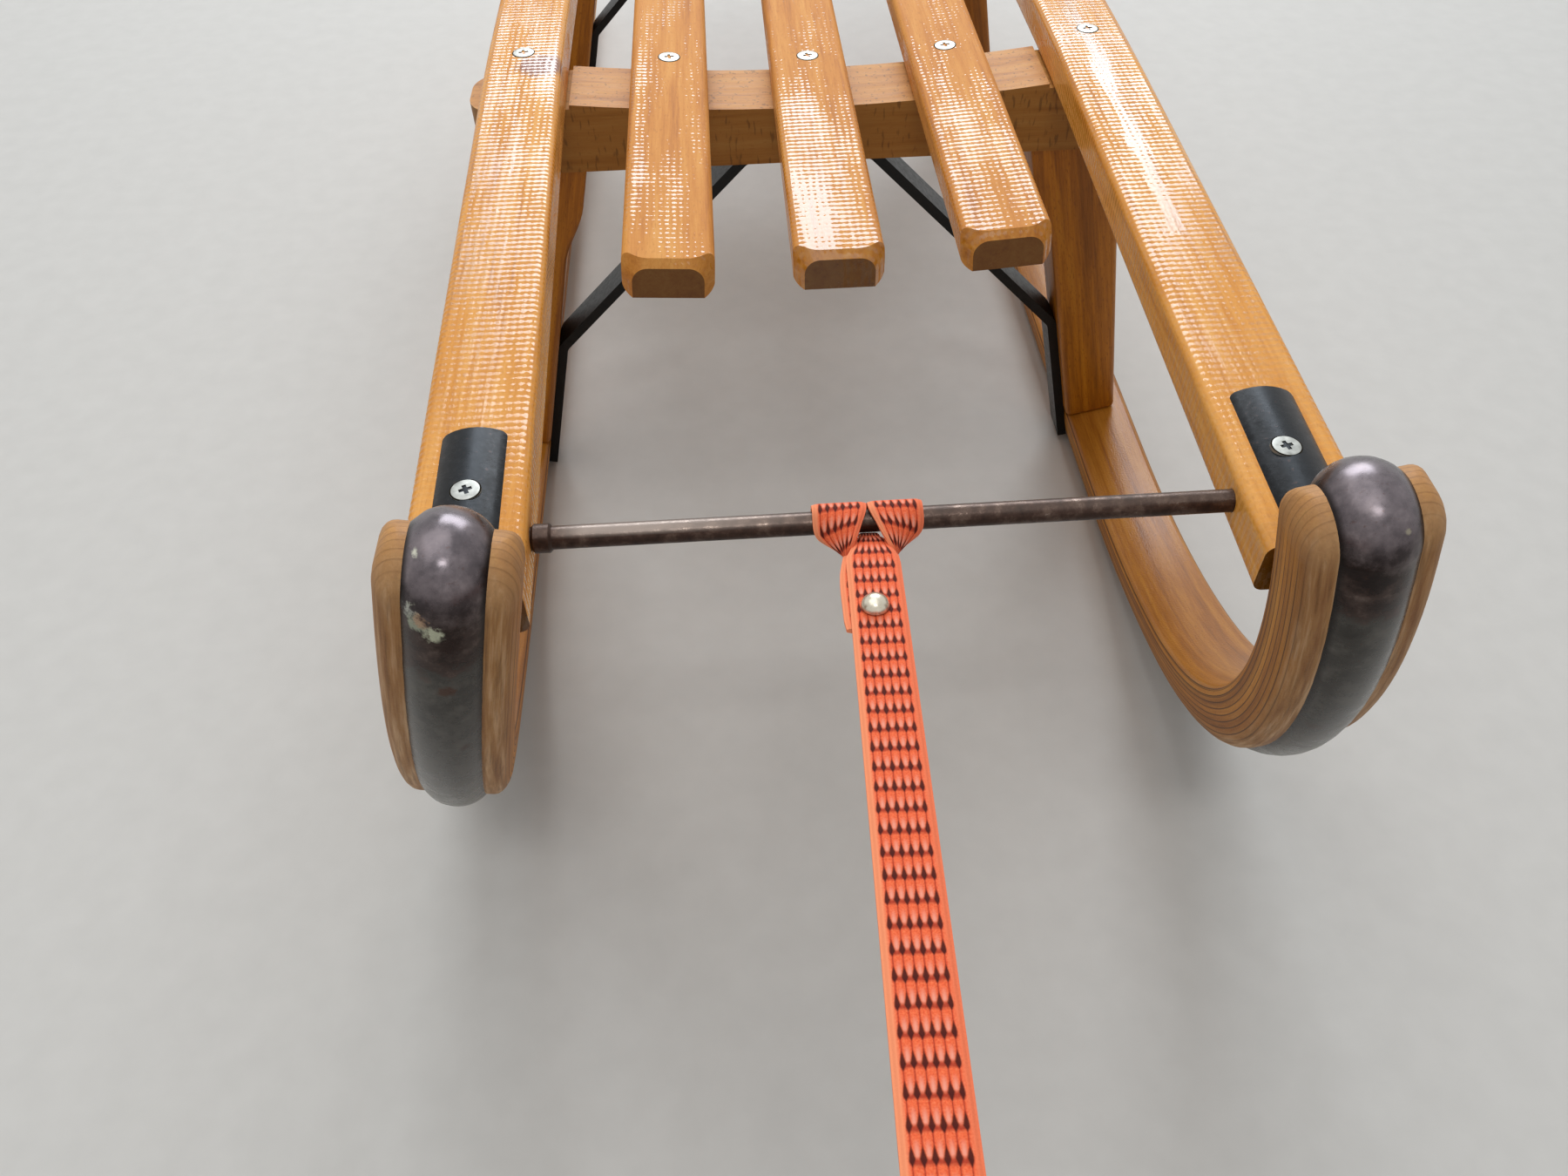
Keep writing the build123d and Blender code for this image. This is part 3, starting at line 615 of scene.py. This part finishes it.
def makeRunner(name):
    # as runnerFrame lays it, from the rear end to the half-round tip
    first = r["thickness"] - r["heel"]
    bpy.ops.mesh.primitive_plane_add(size=1, location=(r["tail"], -first / 2, 0), rotation=(0, pi / 2, 0))
    obj = justMade(name)
    obj.scale = (r["width"], first, 1)
    settle(obj)
    openAll(obj)
    editPick(obj, lambda v: v.co.y > -0.001)
    bpy.ops.mesh.bevel(offset=r["topRound"], segments=4, affect="VERTICES")
    editPick(obj, lambda v: v.co.y < -first + 0.001)
    bpy.ops.mesh.bevel(offset=r["bottomRound"], segments=6, affect="VERTICES")
    bpy.ops.mesh.select_all(action="SELECT")
    deep, back = first, 0.0
    for step in range(1, 9):
        # rounded heel: each section is a little deeper than the last
        a = pi / 2 * step / 8
        nextDeep, nextBack = r["thickness"] - r["heel"] * (1 - sin(a)), r["heel"] * (1 - cos(a))
        extrude(back - nextBack, 0, 0)
        bpy.ops.transform.resize(value=(1, nextDeep / deep, 1), center_override=(0, 0, 0))
        deep, back = nextDeep, nextBack
    for part in range(6):
        extrude((bendStart - r["tail"] + back) / 6, 0, 0)
    bpy.ops.mesh.spin(steps=12, angle=r["longAngle"], center=(bendStart, r["longRadius"], 0), axis=(0, 0, 1))
    bpy.ops.mesh.spin(steps=36, angle=pi / 2 - r["longAngle"], center=(hornBack + bigR, upright, 0), axis=(0, 0, 1))
    extrude(0, tipRise - tipRadius - upright, 0)
    slim, narrow, high = 1.0, 1.0, 0.0
    for step in range(1, 13):
        # half-round tip, its outer and inner corners taken off too
        a = pi / 2 * step / 12
        nextSlim, nextHigh = max(cos(a), 0.03), tipRadius * sin(a)
        nextNarrow = 1 - r["tipNarrow"] * (1 - cos(a))
        extrude(0, nextHigh - high, 0)
        bpy.ops.transform.resize(value=(nextSlim / slim, 1, nextNarrow / narrow),
                                 center_override=(hornBack - tipRadius, 0, 0))
        slim, narrow, high = nextSlim, nextNarrow, nextHigh
    bpy.ops.mesh.select_all(action="SELECT")
    bpy.ops.mesh.remove_doubles(threshold=0.000005)
    bpy.ops.object.mode_set(mode="OBJECT")
    return obj


def runnerFrame(side):
    # x back along Y, y up the lean, z across
    along = Vector((0, 1, 0))
    up = Vector((-side * sin(lean), 0, cos(lean)))
    out = along.cross(up)
    place = Vector((side * r["spacing"] / 2, 0, topZ))
    return Matrix.Translation(place) @ frameOf(along, up, out)


# Runners: beech veneers glued and bent, so dark glue lines 2.4 mm apart run along their sides and band
# the tips; clear glossy varnish on top, worn pale and dull in front and below where snow and stones rub
runnerBeech, add = newMaterial("laminatedBeechRunner")
runs = add("Attribute", attribute_name="run")
mm, grained, fibre = beechGrain(add, (runs, "Vector"), (0, 0, 0), ("8c5416", "b06e20", "c4822c", "d2943e"), 0.4)
apart = add("SeparateXYZ", [mm])
driftAt = add("Mapping", {"Vector": mm, "Scale": (0.02, 0.006, 0.0)})
drift = add("TexNoise", [driftAt, 1.0, 2.0])
wander = add("Math", [drift, 0.9, 0.75], "MULTIPLY_ADD")
bent = add("Math", [(apart, "Z"), wander], "ADD")
ply = add("Math", [bent, 2.4], "DIVIDE")  # each veneer is 2.4 mm thick
plyPart = add("Math", [ply], "FRACT")
glueLine = add("MapRange", [plyPart, 0.10, 0.24, 1.0, 0.0])
twinAt = add("Math", [plyPart, 0.30], "SUBTRACT")
twinAway = add("Math", [twinAt], "ABSOLUTE")
twinLine = add("MapRange", [twinAway, 0.02, 0.09, 0.8, 0.0])
nearTop = add("MapRange", [(apart, "Z"), 5.0, 8.0, 1.0, 0.0])
twins = add("Math", [twinLine, nearTop], "MULTIPLY")
lines = add("Math", [glueLine, twins], "MAXIMUM")
depthShare = add("MapRange", [(apart, "Z"), 2.0, 14.0, 0.95, 0.85])
within = add("MapRange", [(apart, "Z"), 0.5, 1.0])
above = add("MapRange", [(apart, "Z"), 19.5, 22.0, 1.0, 0.0])
lineShown = add("Math", [lines, depthShare], "MULTIPLY")
lineInside = add("Math", [lineShown, within], "MULTIPLY")
lineLow = add("Math", [lineInside, above], "MULTIPLY")
hornRun = bigR * (pi / 2 - r["longAngle"]) + tipRise - upright - tipRadius
tipFrom = (r["longRadius"] * r["longAngle"] + hornRun) * 1000
tipSoft = add("MapRange", [(apart, "Y"), tipFrom - 14, tipFrom, 1.0, 0.3])
lineFinal = add("Math", [lineLow, tipSoft], "MULTIPLY")
plyIndex = add("Math", [ply], "FLOOR")
plyTone = add("TexWhiteNoise", [plyIndex], noise_dimensions="1D")
plyShade = add("MapRange", [plyTone, 0.0, 1.0, 0.0, 0.4])
toned = add("Mix", [plyShade, grained, "7a4a1c"])
wornCloud = add("TexNoise", [mm, 0.05, 4.0, 0.6])
wornAt = add("Math", [wornCloud, 6.0, (apart, "Z")], "MULTIPLY_ADD")
worn = add("MapRange", [wornAt, 19.0, 25.5, 0.0, 0.8])
scrapeAt = add("Mapping", {"Vector": mm, "Scale": (0.45, 0.03, 0.45)})
scrape = add("TexNoise", [scrapeAt, 1.0, 4.0, 0.6])
scrapeTone = add("ValToRGB", [scrape], stops=((0.32, "7e5430"), (0.5, "a47a4e"), (0.68, "cba882")))
rubbed = add("Mix", [worn, toned, scrapeTone])
wornFibre = add("MapRange", [fibre, 0.5, 0.66, 0.0, 0.55])
fibreShown = add("Math", [wornFibre, worn], "MULTIPLY")
furrowed = add("Mix", [fibreShown, rubbed, "553619"])
tipPale = add("MapRange", [(apart, "Y"), tipFrom - 3, tipFrom + 6, 0.0, 0.55])
tipped = add("Mix", [tipPale, furrowed, "bd9468"])
laminated = add("Mix", [lineFinal, tipped, "45260c"])
rough = add("MapRange", [(apart, "Z"), 0.4, 1.6, 0.28, 0.55])
specks = add("TexNoise", [mm, 1.1, 2.0])
relief = add("Math", [fibre, 0.6, specks], "MULTIPLY_ADD")
bump = add("Bump", {"Height": relief, "Strength": 0.6, "Distance": 0.0002})
add("OutputMaterial", [add("BsdfPrincipled", {
    "Base Color": laminated, "Roughness": rough, "IOR": 1.5, "Specular IOR Level": 0.27, "Normal": bump})])

for side, name, node in ((-1, "runnerBentLeft", "runner_left"), (1, "runnerBentRight", "runner_right")):
    obj = makeRunner(name)
    runs = obj.data.attributes.new("run", "FLOAT_VECTOR", "POINT")
    for v in obj.data.vertices:
        along, depth = runCoordinates(v.co.x, v.co.y)
        runs.data[v.index].vector = (v.co.z + side * 0.1, along, depth)
    settle(obj, runnerFrame(side))
    outwards(obj)
    smooth(obj, 35)
    dress(obj, runnerBeech)
    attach(obj, "root")
    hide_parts(node)
print("runners bent")


beamPlaces = (("front", -0.135), ("rear", 0.265))  # the crossbeams' middles, along Y
legLook = {
    "depth": 0.036, "foot": 0.028, "headInner": 0.024, "headOuter": 0.0185,
    "stepStart": 0.022, "stepEnd": 0.055, "beamBottom": 0.196, "round": 0.003,
}


def makeLeg(name, side, beamY):
    # local x outwards across the leg, local y back along Y, local z up the lean
    look = legLook
    inner = r["width"] / 2
    headInner = (look["beamBottom"] - topZ + look["headInner"] * sin(lean)) / cos(lean)
    headOuter = (look["beamBottom"] - topZ - look["headOuter"] * sin(lean)) / cos(lean)
    sections = [(0.0, -inner), (headInner - look["stepEnd"], -inner)]
    for step in range(1, 11):
        t = step / 10
        rise = headInner - look["stepEnd"] + (look["stepEnd"] - look["stepStart"]) * t
        sections.append((rise, -inner - (look["headInner"] - inner) * t * t * (3 - 2 * t)))
    sections.append((headInner + 0.004, -look["headInner"]))
    bpy.ops.mesh.primitive_plane_add(size=1, location=(look["foot"] / 2 - inner, 0, 0))
    leg = justMade(name)
    leg.scale = (look["foot"], look["depth"], 1)
    settle(leg)
    openAll(leg)
    lastRise, lastLeft, lastRight = 0.0, -inner, look["foot"] - inner
    for rise, left in sections[1:]:
        right = look["foot"] - inner + (look["headOuter"] - look["foot"] + inner) * rise / headOuter
        extrude(0, 0, rise - lastRise)
        bpy.ops.transform.resize(value=((right - left) / (lastRight - lastLeft), 1, 1),
                                 center_override=((lastLeft + lastRight) / 2, 0, 0))
        bpy.ops.transform.translate(value=((left + right - lastLeft - lastRight) / 2, 0, 0))
        lastRise, lastLeft, lastRight = rise, left, right
    editPick(leg, lambda e: abs(e.verts[0].co.z - e.verts[1].co.z) > 1e-5 or max(v.co.z for v in e.verts) < 1e-6,
             "EDGE")
    bpy.ops.mesh.bevel(offset=look["round"], segments=4, affect="EDGES")
    out, up = Vector((side * cos(lean), 0, sin(lean))), Vector((-side * sin(lean), 0, cos(lean)))
    settle(leg, Matrix.Translation((side * r["spacing"] / 2, beamY, topZ)) @ frameOf(out, Vector((0, 1, 0)), up))
    openAll(leg)
    bpy.ops.mesh.bisect(plane_co=(0, 0, look["beamBottom"]), plane_no=(0, 0, 1), clear_outer=True, use_fill=True)
    outwards(leg)
    smooth(leg, 35)
    dress(leg, legBeech[side])
    return leg


for side, hand in ((-1, "left"), (1, "right")):
    for end, beamY in beamPlaces:
        leg = makeLeg("splayedLeg" + end.title() + hand.title(), side, beamY)
        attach(leg, "root")
        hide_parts("leg_" + end + "_" + hand)
print("legs fitted")


# Hot-rolled running steel: brown-purple patina with scuffs on the horns, burnished grey below where it
# runs, black mill scale on the strip that lies on the slat, crests partly rubbed and partly painted highlight, a
# painted highlight along the strip's middle, and painted shade along its seam with the wood
runningSteel, add = newMaterial("burnishedRunningSteel")
steelLook = {
    "patina": (0.2635, 0.2675),  # heights between which the grey turns brown
    "seamShade": (0.0084, 0.0096),  # distances from the rail's middle line between which the painted seam shade sets in
    # the strip on each slat: its middle at the front crossbeam, and its slant
    "stripX": 0.1304, "stripSlant": 0.02848,
    # (place, reach, colour): chipped paint and rust spots seen on the horns
    "marks": (
        ((-0.1233, -0.4994, 0.2745), 0.0022, "c9cbb6"), ((-0.1180, -0.5000, 0.2655), 0.0024, "c4c7ae"),
        ((-0.1244, -0.4993, 0.2722), 0.0030, "c4c6bc"), ((-0.1225, -0.4998, 0.2690), 0.0030, "9aa08c"),
        ((-0.1207, -0.4999, 0.2700), 0.0022, "a9876c"), ((-0.1199, -0.4897, 0.2845), 0.0012, "d4d4c2"),
        ((-0.1150, -0.4999, 0.2605), 0.0032, "24130e"), ((-0.1200, -0.4993, 0.2424), 0.0022, "4a2f22"),
        ((-0.1223, -0.4945, 0.2085), 0.0020, "3a261c"), ((0.1138, -0.4999, 0.2645), 0.0036, "1d1412"),
        ((0.1287, -0.4876, 0.1831), 0.0026, "3b2a22"), ((0.1368, -0.4780, 0.1588), 0.0026, "33241d"),
        ((0.1212, -0.4941, 0.2819), 0.0009, "b7c24a"), ((0.1180, -0.4960, 0.2790), 0.0009, "8c8574"),
    ),
}
where = add("TexCoord")
mm = add("Mapping", {"Vector": (where, "Object"), "Scale": (1000, 1000, 1000)})
cloud = add("TexNoise", [mm, 0.13, 5.0, 0.65])
grit = add("TexNoise", [mm, 0.6, 4.0, 0.65])
apart = add("SeparateXYZ", [(where, "Object")])
greyTone = add("ValToRGB", [cloud], stops=((0.3, "35322f"), (0.5, "45423e"), (0.7, "5c5954")))
brownTone = add("ValToRGB", [cloud], stops=((0.3, "1a1110"), (0.45, "2c1f1b"), (0.58, "40322d"), (0.75, "665751")))
bright = add("MapRange", [(apart, "Z"), 0.13, 0.18, 0.4, 0.0])
polished = add("Mix", [bright, greyTone, "8a877d"])
heightLoose = add("Math", [cloud, 0.03, (apart, "Z")], "MULTIPLY_ADD")
patina = add("MapRange", [heightLoose, *steelLook["patina"]])
steelTone = add("Mix", [patina, polished, brownTone])
backward = add("MapRange", [(apart, "Y"), -0.4665, -0.4645])
onSlat = add("MapRange", [(apart, "Z"), 0.2445, 0.2449])
strip = add("Math", [backward, onSlat], "MULTIPLY")
stripTone = add("ValToRGB", [grit], stops=((0.3, "0e0f10"), (0.6, "191b1d"), (0.8, "303337")))
# the crests are lighter, partly rubbed and partly a painted highlight; the strip's middle is a painted highlight
crestRubAndHighlight = add("MapRange", [heightLoose, 0.281, 0.303, 0.0, 0.46])
crestRubbedAndHighlighted = add("Mix", [crestRubAndHighlight, steelTone, "918b92"])
outX = add("Math", [(apart, "X")], "ABSOLUTE")
stripSlant = steelLook["stripSlant"]
stripAcross = add("Math", [(apart, "Y"), -stripSlant, outX], "MULTIPLY_ADD")
stripOff = add("Math", [stripAcross, steelLook["stripX"] - beamPlaces[0][1] * stripSlant], "SUBTRACT")
stripAway = add("Math", [stripOff], "ABSOLUTE")
# painted highlight along the middle of the strip
stripMiddleHighlight = add("MapRange", [stripAway, 0.001, 0.006, 0.45, 0.0])
stripHighlighted = add("Mix", [stripMiddleHighlight, stripTone, "363b40"])
colour = add("Mix", [strip, crestRubbedAndHighlighted, stripHighlighted])
for place, reach, tint in steelLook["marks"]:
    far = add("VectorMath", [(where, "Object"), place], "DISTANCE")
    ragged = add("Math", [grit, reach * 2.4, (far, "Value")], "MULTIPLY_ADD")
    shown = add("MapRange", [ragged, reach * 1.9, reach * 2.5, 0.8, 0.0])
    colour = add("Mix", [shown, colour, tint])
rustMask = add("MapRange", [grit, 0.62, 0.72, 0.0, 0.4])
rusty = add("Mix", [rustMask, colour, "4b2f22"])
# distance from the rail's middle line, on the leaning runner
leanX = add("Math", [outX, cos(lean), -r["spacing"] / 2 * cos(lean) - topZ * sin(lean)], "MULTIPLY_ADD")
offLine = add("Math", [(apart, "Z"), sin(lean), leanX], "MULTIPLY_ADD")
offLineAbs = add("Math", [offLine], "ABSOLUTE")
# painted shade: a dark band along the seam between steel and wood
seamShade = add("MapRange", [offLineAbs, *steelLook["seamShade"], 0.0, 0.85])
offStrip = add("Math", [1.0, strip], "SUBTRACT")
seamShadeShown = add("Math", [seamShade, offStrip], "MULTIPLY")
seamShaded = add("Mix", [seamShadeShown, rusty, "17100d"])
steelRough = add("MapRange", [cloud, 0.3, 0.7, 0.2, 0.36])
steelBump = add("Bump", {"Height": grit, "Strength": 0.12, "Distance": 0.0002})
add("OutputMaterial", [add("BsdfPrincipled", {
    "Base Color": seamShaded, "Metallic": 0.8, "Roughness": steelRough, "Normal": steelBump})])
for name in ("rail_left", "rail_right"):
    dress(cadNode[name], runningSteel)

# Black enamelled flat steel: smooth, half gloss, with fine specks
blackSteel, add = newMaterial("blackEnamelledSteel")
where = add("TexCoord")
speck = add("TexNoise", [(where, "Object"), 420.0, 5.0, 0.7])
blackTone = add("ValToRGB", [speck], stops=((0.3, "080808"), (0.6, "12110f"), (0.8, "241f1b")))
blackRough = add("MapRange", [speck, 0.3, 0.7, 0.3, 0.5])
blackBump = add("Bump", {"Height": speck, "Strength": 0.2, "Distance": 0.0003})
add("OutputMaterial", [add("BsdfPrincipled", {
    "Base Color": blackTone, "Roughness": blackRough, "Specular IOR Level": 0.25, "Normal": blackBump})])
for name in ("brace_front", "brace_rear"):
    dress(cadNode[name], blackSteel)

# Round bar, rusted dark brown, with a painted highlight along the top of its left part
rodSteel, add = newMaterial("rustedRoundBar")
where = add("TexCoord")
mm = add("Mapping", {"Vector": (where, "Object"), "Scale": (1000, 1000, 1000)})
rustCloud = add("TexNoise", [mm, 0.22, 6.0, 0.65])
rustGrit = add("TexNoise", [mm, 1.6, 3.0])
rustTone = add("ValToRGB", [rustCloud], stops=((0.3, "2a1d17"), (0.5, "3f2d25"), (0.65, "5a483e"), (0.8, "8b7d73")))
facing = add("SeparateXYZ", [(where, "Normal")])
topOn = add("MapRange", [(facing, "Z"), 0.55, 0.9])
spotXYZ = add("SeparateXYZ", [(where, "Object")])
# painted highlight: lighter on top, over the left part, short of the collar
leftHighlight = add("MapRange", [(spotXYZ, "X"), -0.07, -0.02, 0.65, 0.1])
highlightOffCollar = add("MapRange", [(spotXYZ, "X"), -0.098, -0.088, 0.1, 1.0])
highlightShare = add("Math", [leftHighlight, highlightOffCollar], "MULTIPLY")
paintedHighlight = add("Math", [topOn, highlightShare], "MULTIPLY")
highlightedRustTone = add("Mix", [paintedHighlight, rustTone, "9c9087"])
rodRough = add("MapRange", [rustCloud, 0.3, 0.7, 0.44, 0.24])
rodBump = add("Bump", {"Height": rustGrit, "Strength": 0.3, "Distance": 0.0002})
add("OutputMaterial", [add("BsdfPrincipled", {
    "Base Color": highlightedRustTone, "Metallic": 0.6, "Specular IOR Level": 0.3, "Roughness": rodRough,
    "Normal": rodBump})])
dress(cadNode["pull_rod"], rodSteel)
print("steel rolled")


# Zinc-plated steel: pale grey and slightly dull
zinc, add = newMaterial("zincPlatedScrew")
where = add("TexCoord")
film = add("TexNoise", [(where, "Object"), 500.0, 4.0])
zincTone = add("ValToRGB", [film], stops=((0.3, "8e908c"), (0.6, "aaaca7"), (0.8, "bec0bb")))
zincRough = add("MapRange", [film, 0.3, 0.7, 0.34, 0.5])
add("OutputMaterial", [add("BsdfPrincipled", {"Base Color": zincTone, "Metallic": 0.7, "Roughness": zincRough})])

# Painted shade in the cross recess and in the countersink ring round the head: dark, matt, olive-brown
countersinkShade, add = newMaterial("paintedShadeInCountersink")
where = add("TexCoord")
crumbs = add("TexNoise", [(where, "Object"), 1400.0, 3.0])
countersinkShadeTone = add("ValToRGB", [crumbs], stops=((0.3, "0f0d08"), (0.6, "1f1a0f"), (0.8, "3c321c")))
add("OutputMaterial", [add("BsdfPrincipled", {
    "Base Color": countersinkShadeTone, "Roughness": 0.9, "Specular IOR Level": 0.1})])

screwLook = {"depth": 0.0016, "recess": 0.62, "arm": 0.0017, "proud": 0.00025, "sink": 0.00045}


def makeScrew(name, place, up, spin, radius):
    # a countersunk head with a cross recess, in a dark ring of painted shade
    s = screwLook
    bpy.ops.mesh.primitive_cylinder_add(vertices=48, radius=radius + s["sink"], depth=s["depth"])
    head = justMade(name)
    bpy.ops.object.mode_set(mode="EDIT")
    editPick(head, lambda f: f.normal.z > 0.9, "FACE")
    bpy.ops.mesh.inset(thickness=s["sink"])
    extrude(0, 0, s["proud"] * 0.6)
    bpy.ops.mesh.inset(thickness=0.0005)
    bpy.ops.transform.translate(value=(0, 0, s["proud"] * 0.4))
    bpy.ops.object.mode_set(mode="OBJECT")
    topFace = s["depth"] / 2 + s["proud"]
    cutters = []
    for angle in (0, pi / 2):
        bpy.ops.mesh.primitive_cube_add(size=1, location=(0, 0, topFace), rotation=(0, 0, angle))
        blade = justMade(name + "Blade")
        blade.scale = (radius * 2 * s["recess"], s["arm"], 0.0022)
        settle(blade)
        openAll(blade)
        editPick(blade, lambda v: v.co.z < topFace)
        bpy.ops.transform.resize(value=(0.5, 0.5, 1), center_override=(0, 0, 0))
        bpy.ops.object.mode_set(mode="OBJECT")
        cutters.append(blade)
    for blade in cutters:
        cut = head.modifiers.new("recess", "BOOLEAN")
        cut.object = blade
        cut.solver = "EXACT"
        pickOnly(head)
        bpy.ops.object.modifier_apply(modifier="recess")
        bpy.data.objects.remove(blade)
    dress(head, zinc)
    # the recess and the ring round the head take the painted shade
    head.data.materials.append(countersinkShade)
    for face in head.data.polygons:
        fromAxis = face.center.xy.length
        inRecess = fromAxis < radius * 0.75 and face.center.z < topFace - 0.0001
        inFloor = fromAxis < 1e-5 and face.normal.z > 0.9 and face.center.z < topFace - 1e-5
        inRing = abs(face.center.z - s["depth"] / 2) < 1e-6 or inFloor
        if inRecess or inRing:
            face.material_index = 1
    up = Vector(up).normalized()
    side = Vector((0, 1, 0)).cross(up).normalized()
    seated = Matrix.Translation(Vector(place) - up * (s["depth"] / 2 - 0.00005))
    settle(head, seated @ frameOf(side, up.cross(side), up) @ Matrix.Rotation(spin, 4, "Z"))
    smooth(head, 30)
    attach(head, "root")


# five through each crossbeam, square to the slat that each holds, and one in each steel strip
seatLook = {
    "slats": (-0.1304, -0.0652, 0.0, 0.0652, 0.1304), "slatThick": 0.015, "stripTop": 0.0031,
    "hollowHalf": 0.111, "hollowDeep": 0.0061,  # of the crossbeams' hollow top
    "hollowBelow": 0.0221, "slatRest": 0.000147,  # below the outer slats' tops; slats' bottoms above the hollow
    "beamScrew": 0.0047, "stripScrew": 0.0042, "strips": ((-0.1220, "screwStripLeft"), (0.1207, "screwStripRight")),
    "stripY": -0.4300, "turn": (0.1, 0.6),
}
random.seed(4)
look = seatLook
seat = r["seat"]
hollowR = (look["hollowHalf"] ** 2 + look["hollowDeep"] ** 2) / (2 * look["hollowDeep"])
for beamName, beamY in beamPlaces:
    for i, x in enumerate(look["slats"]):
        if abs(x) > 0.1:
            place, up = Vector((x, beamY, seat)), (0, 0, 1)
        else:
            tilt = asin(x / hollowR)
            up = Vector((-sin(tilt), 0, cos(tilt)))
            hollowCentre = Vector((0, beamY, seat - look["hollowBelow"] + hollowR))
            place = hollowCentre - up * (hollowR - look["slatRest"] - look["slatThick"])
        spin = random.uniform(*look["turn"])
        makeScrew("screw" + beamName.title() + str(i + 1), place, up, spin, look["beamScrew"])
for x, name in look["strips"]:
    spin = random.uniform(*look["turn"])
    makeScrew(name, (x, look["stripY"], seat + look["stripTop"]), (0, 0, 1), spin, look["stripScrew"])
print("screws driven")


floorLook = {"size": 8.0, "tones": ((0.3, "cccac5"), (0.7, "d0cec9"))}
bpy.ops.mesh.primitive_plane_add(size=floorLook["size"], location=(0, 0, -0.0002))
floor = justMade("studioFloor")
# Pale painted floor: matt, with a mottle that hardly shows
floorPaint, add = newMaterial("paleFloor")
where = add("TexCoord")
mottle = add("TexNoise", [(where, "Object"), 60.0, 3.0])
paleTone = add("ValToRGB", [mottle], stops=floorLook["tones"])
add("OutputMaterial", [add("BsdfPrincipled", {"Base Color": paleTone, "Roughness": 0.8})])
dress(floor, floorPaint)

lights = (
    # name, place, aim, size across, size up, watts, colour
    ("windowBehind", (0.25, 2.2, 1.85), (0, -0.25, 0.24), 2.0, 1.2, 60, "f4f9ff"),
    ("softAbove", (-0.5, -0.1, 2.2), (0, 0, 0), 2.0, 2.0, 16, "ffffff"),
    ("smallLampInFront", (-0.02, -1.15, 1.60), (0, -0.48, 0.27), 0.4, 0.16, 3.8, "ffffff"),
)
for name, place, aim, wide, tall, watts, tint in lights:
    lamp = bpy.data.lights.new(name, "AREA")
    lamp.shape = "RECTANGLE"
    lamp.size, lamp.size_y, lamp.energy, lamp.color = wide, tall, watts, hexColour(tint)[:3]
    holder = addObject(name, lamp)
    holder.location = place
    holder.rotation_euler = (Vector(aim) - Vector(place)).to_track_quat("-Z", "Y").to_euler()

world = bpy.context.scene.world or bpy.data.worlds.new("studio")
bpy.context.scene.world = world
world.use_nodes = True
world.node_tree.nodes.clear()
add = partial(addNode, world.node_tree)
rays = add("LightPath")
dim = add("Background", ["eef0f2", 0.35])
plain = add("Background", ["ffffff", 1.0])
seen = add("Math", [(rays, "Is Camera Ray"), (rays, "Is Glossy Ray")], "MAXIMUM")
seenAll = add("Math", [seen, (rays, "Is Transmission Ray")], "MAXIMUM")
add("OutputWorld", [add("MixShader", [seenAll, dim, plain])])
bpy.context.scene.view_settings.view_transform = "Standard"
print("studio lit")
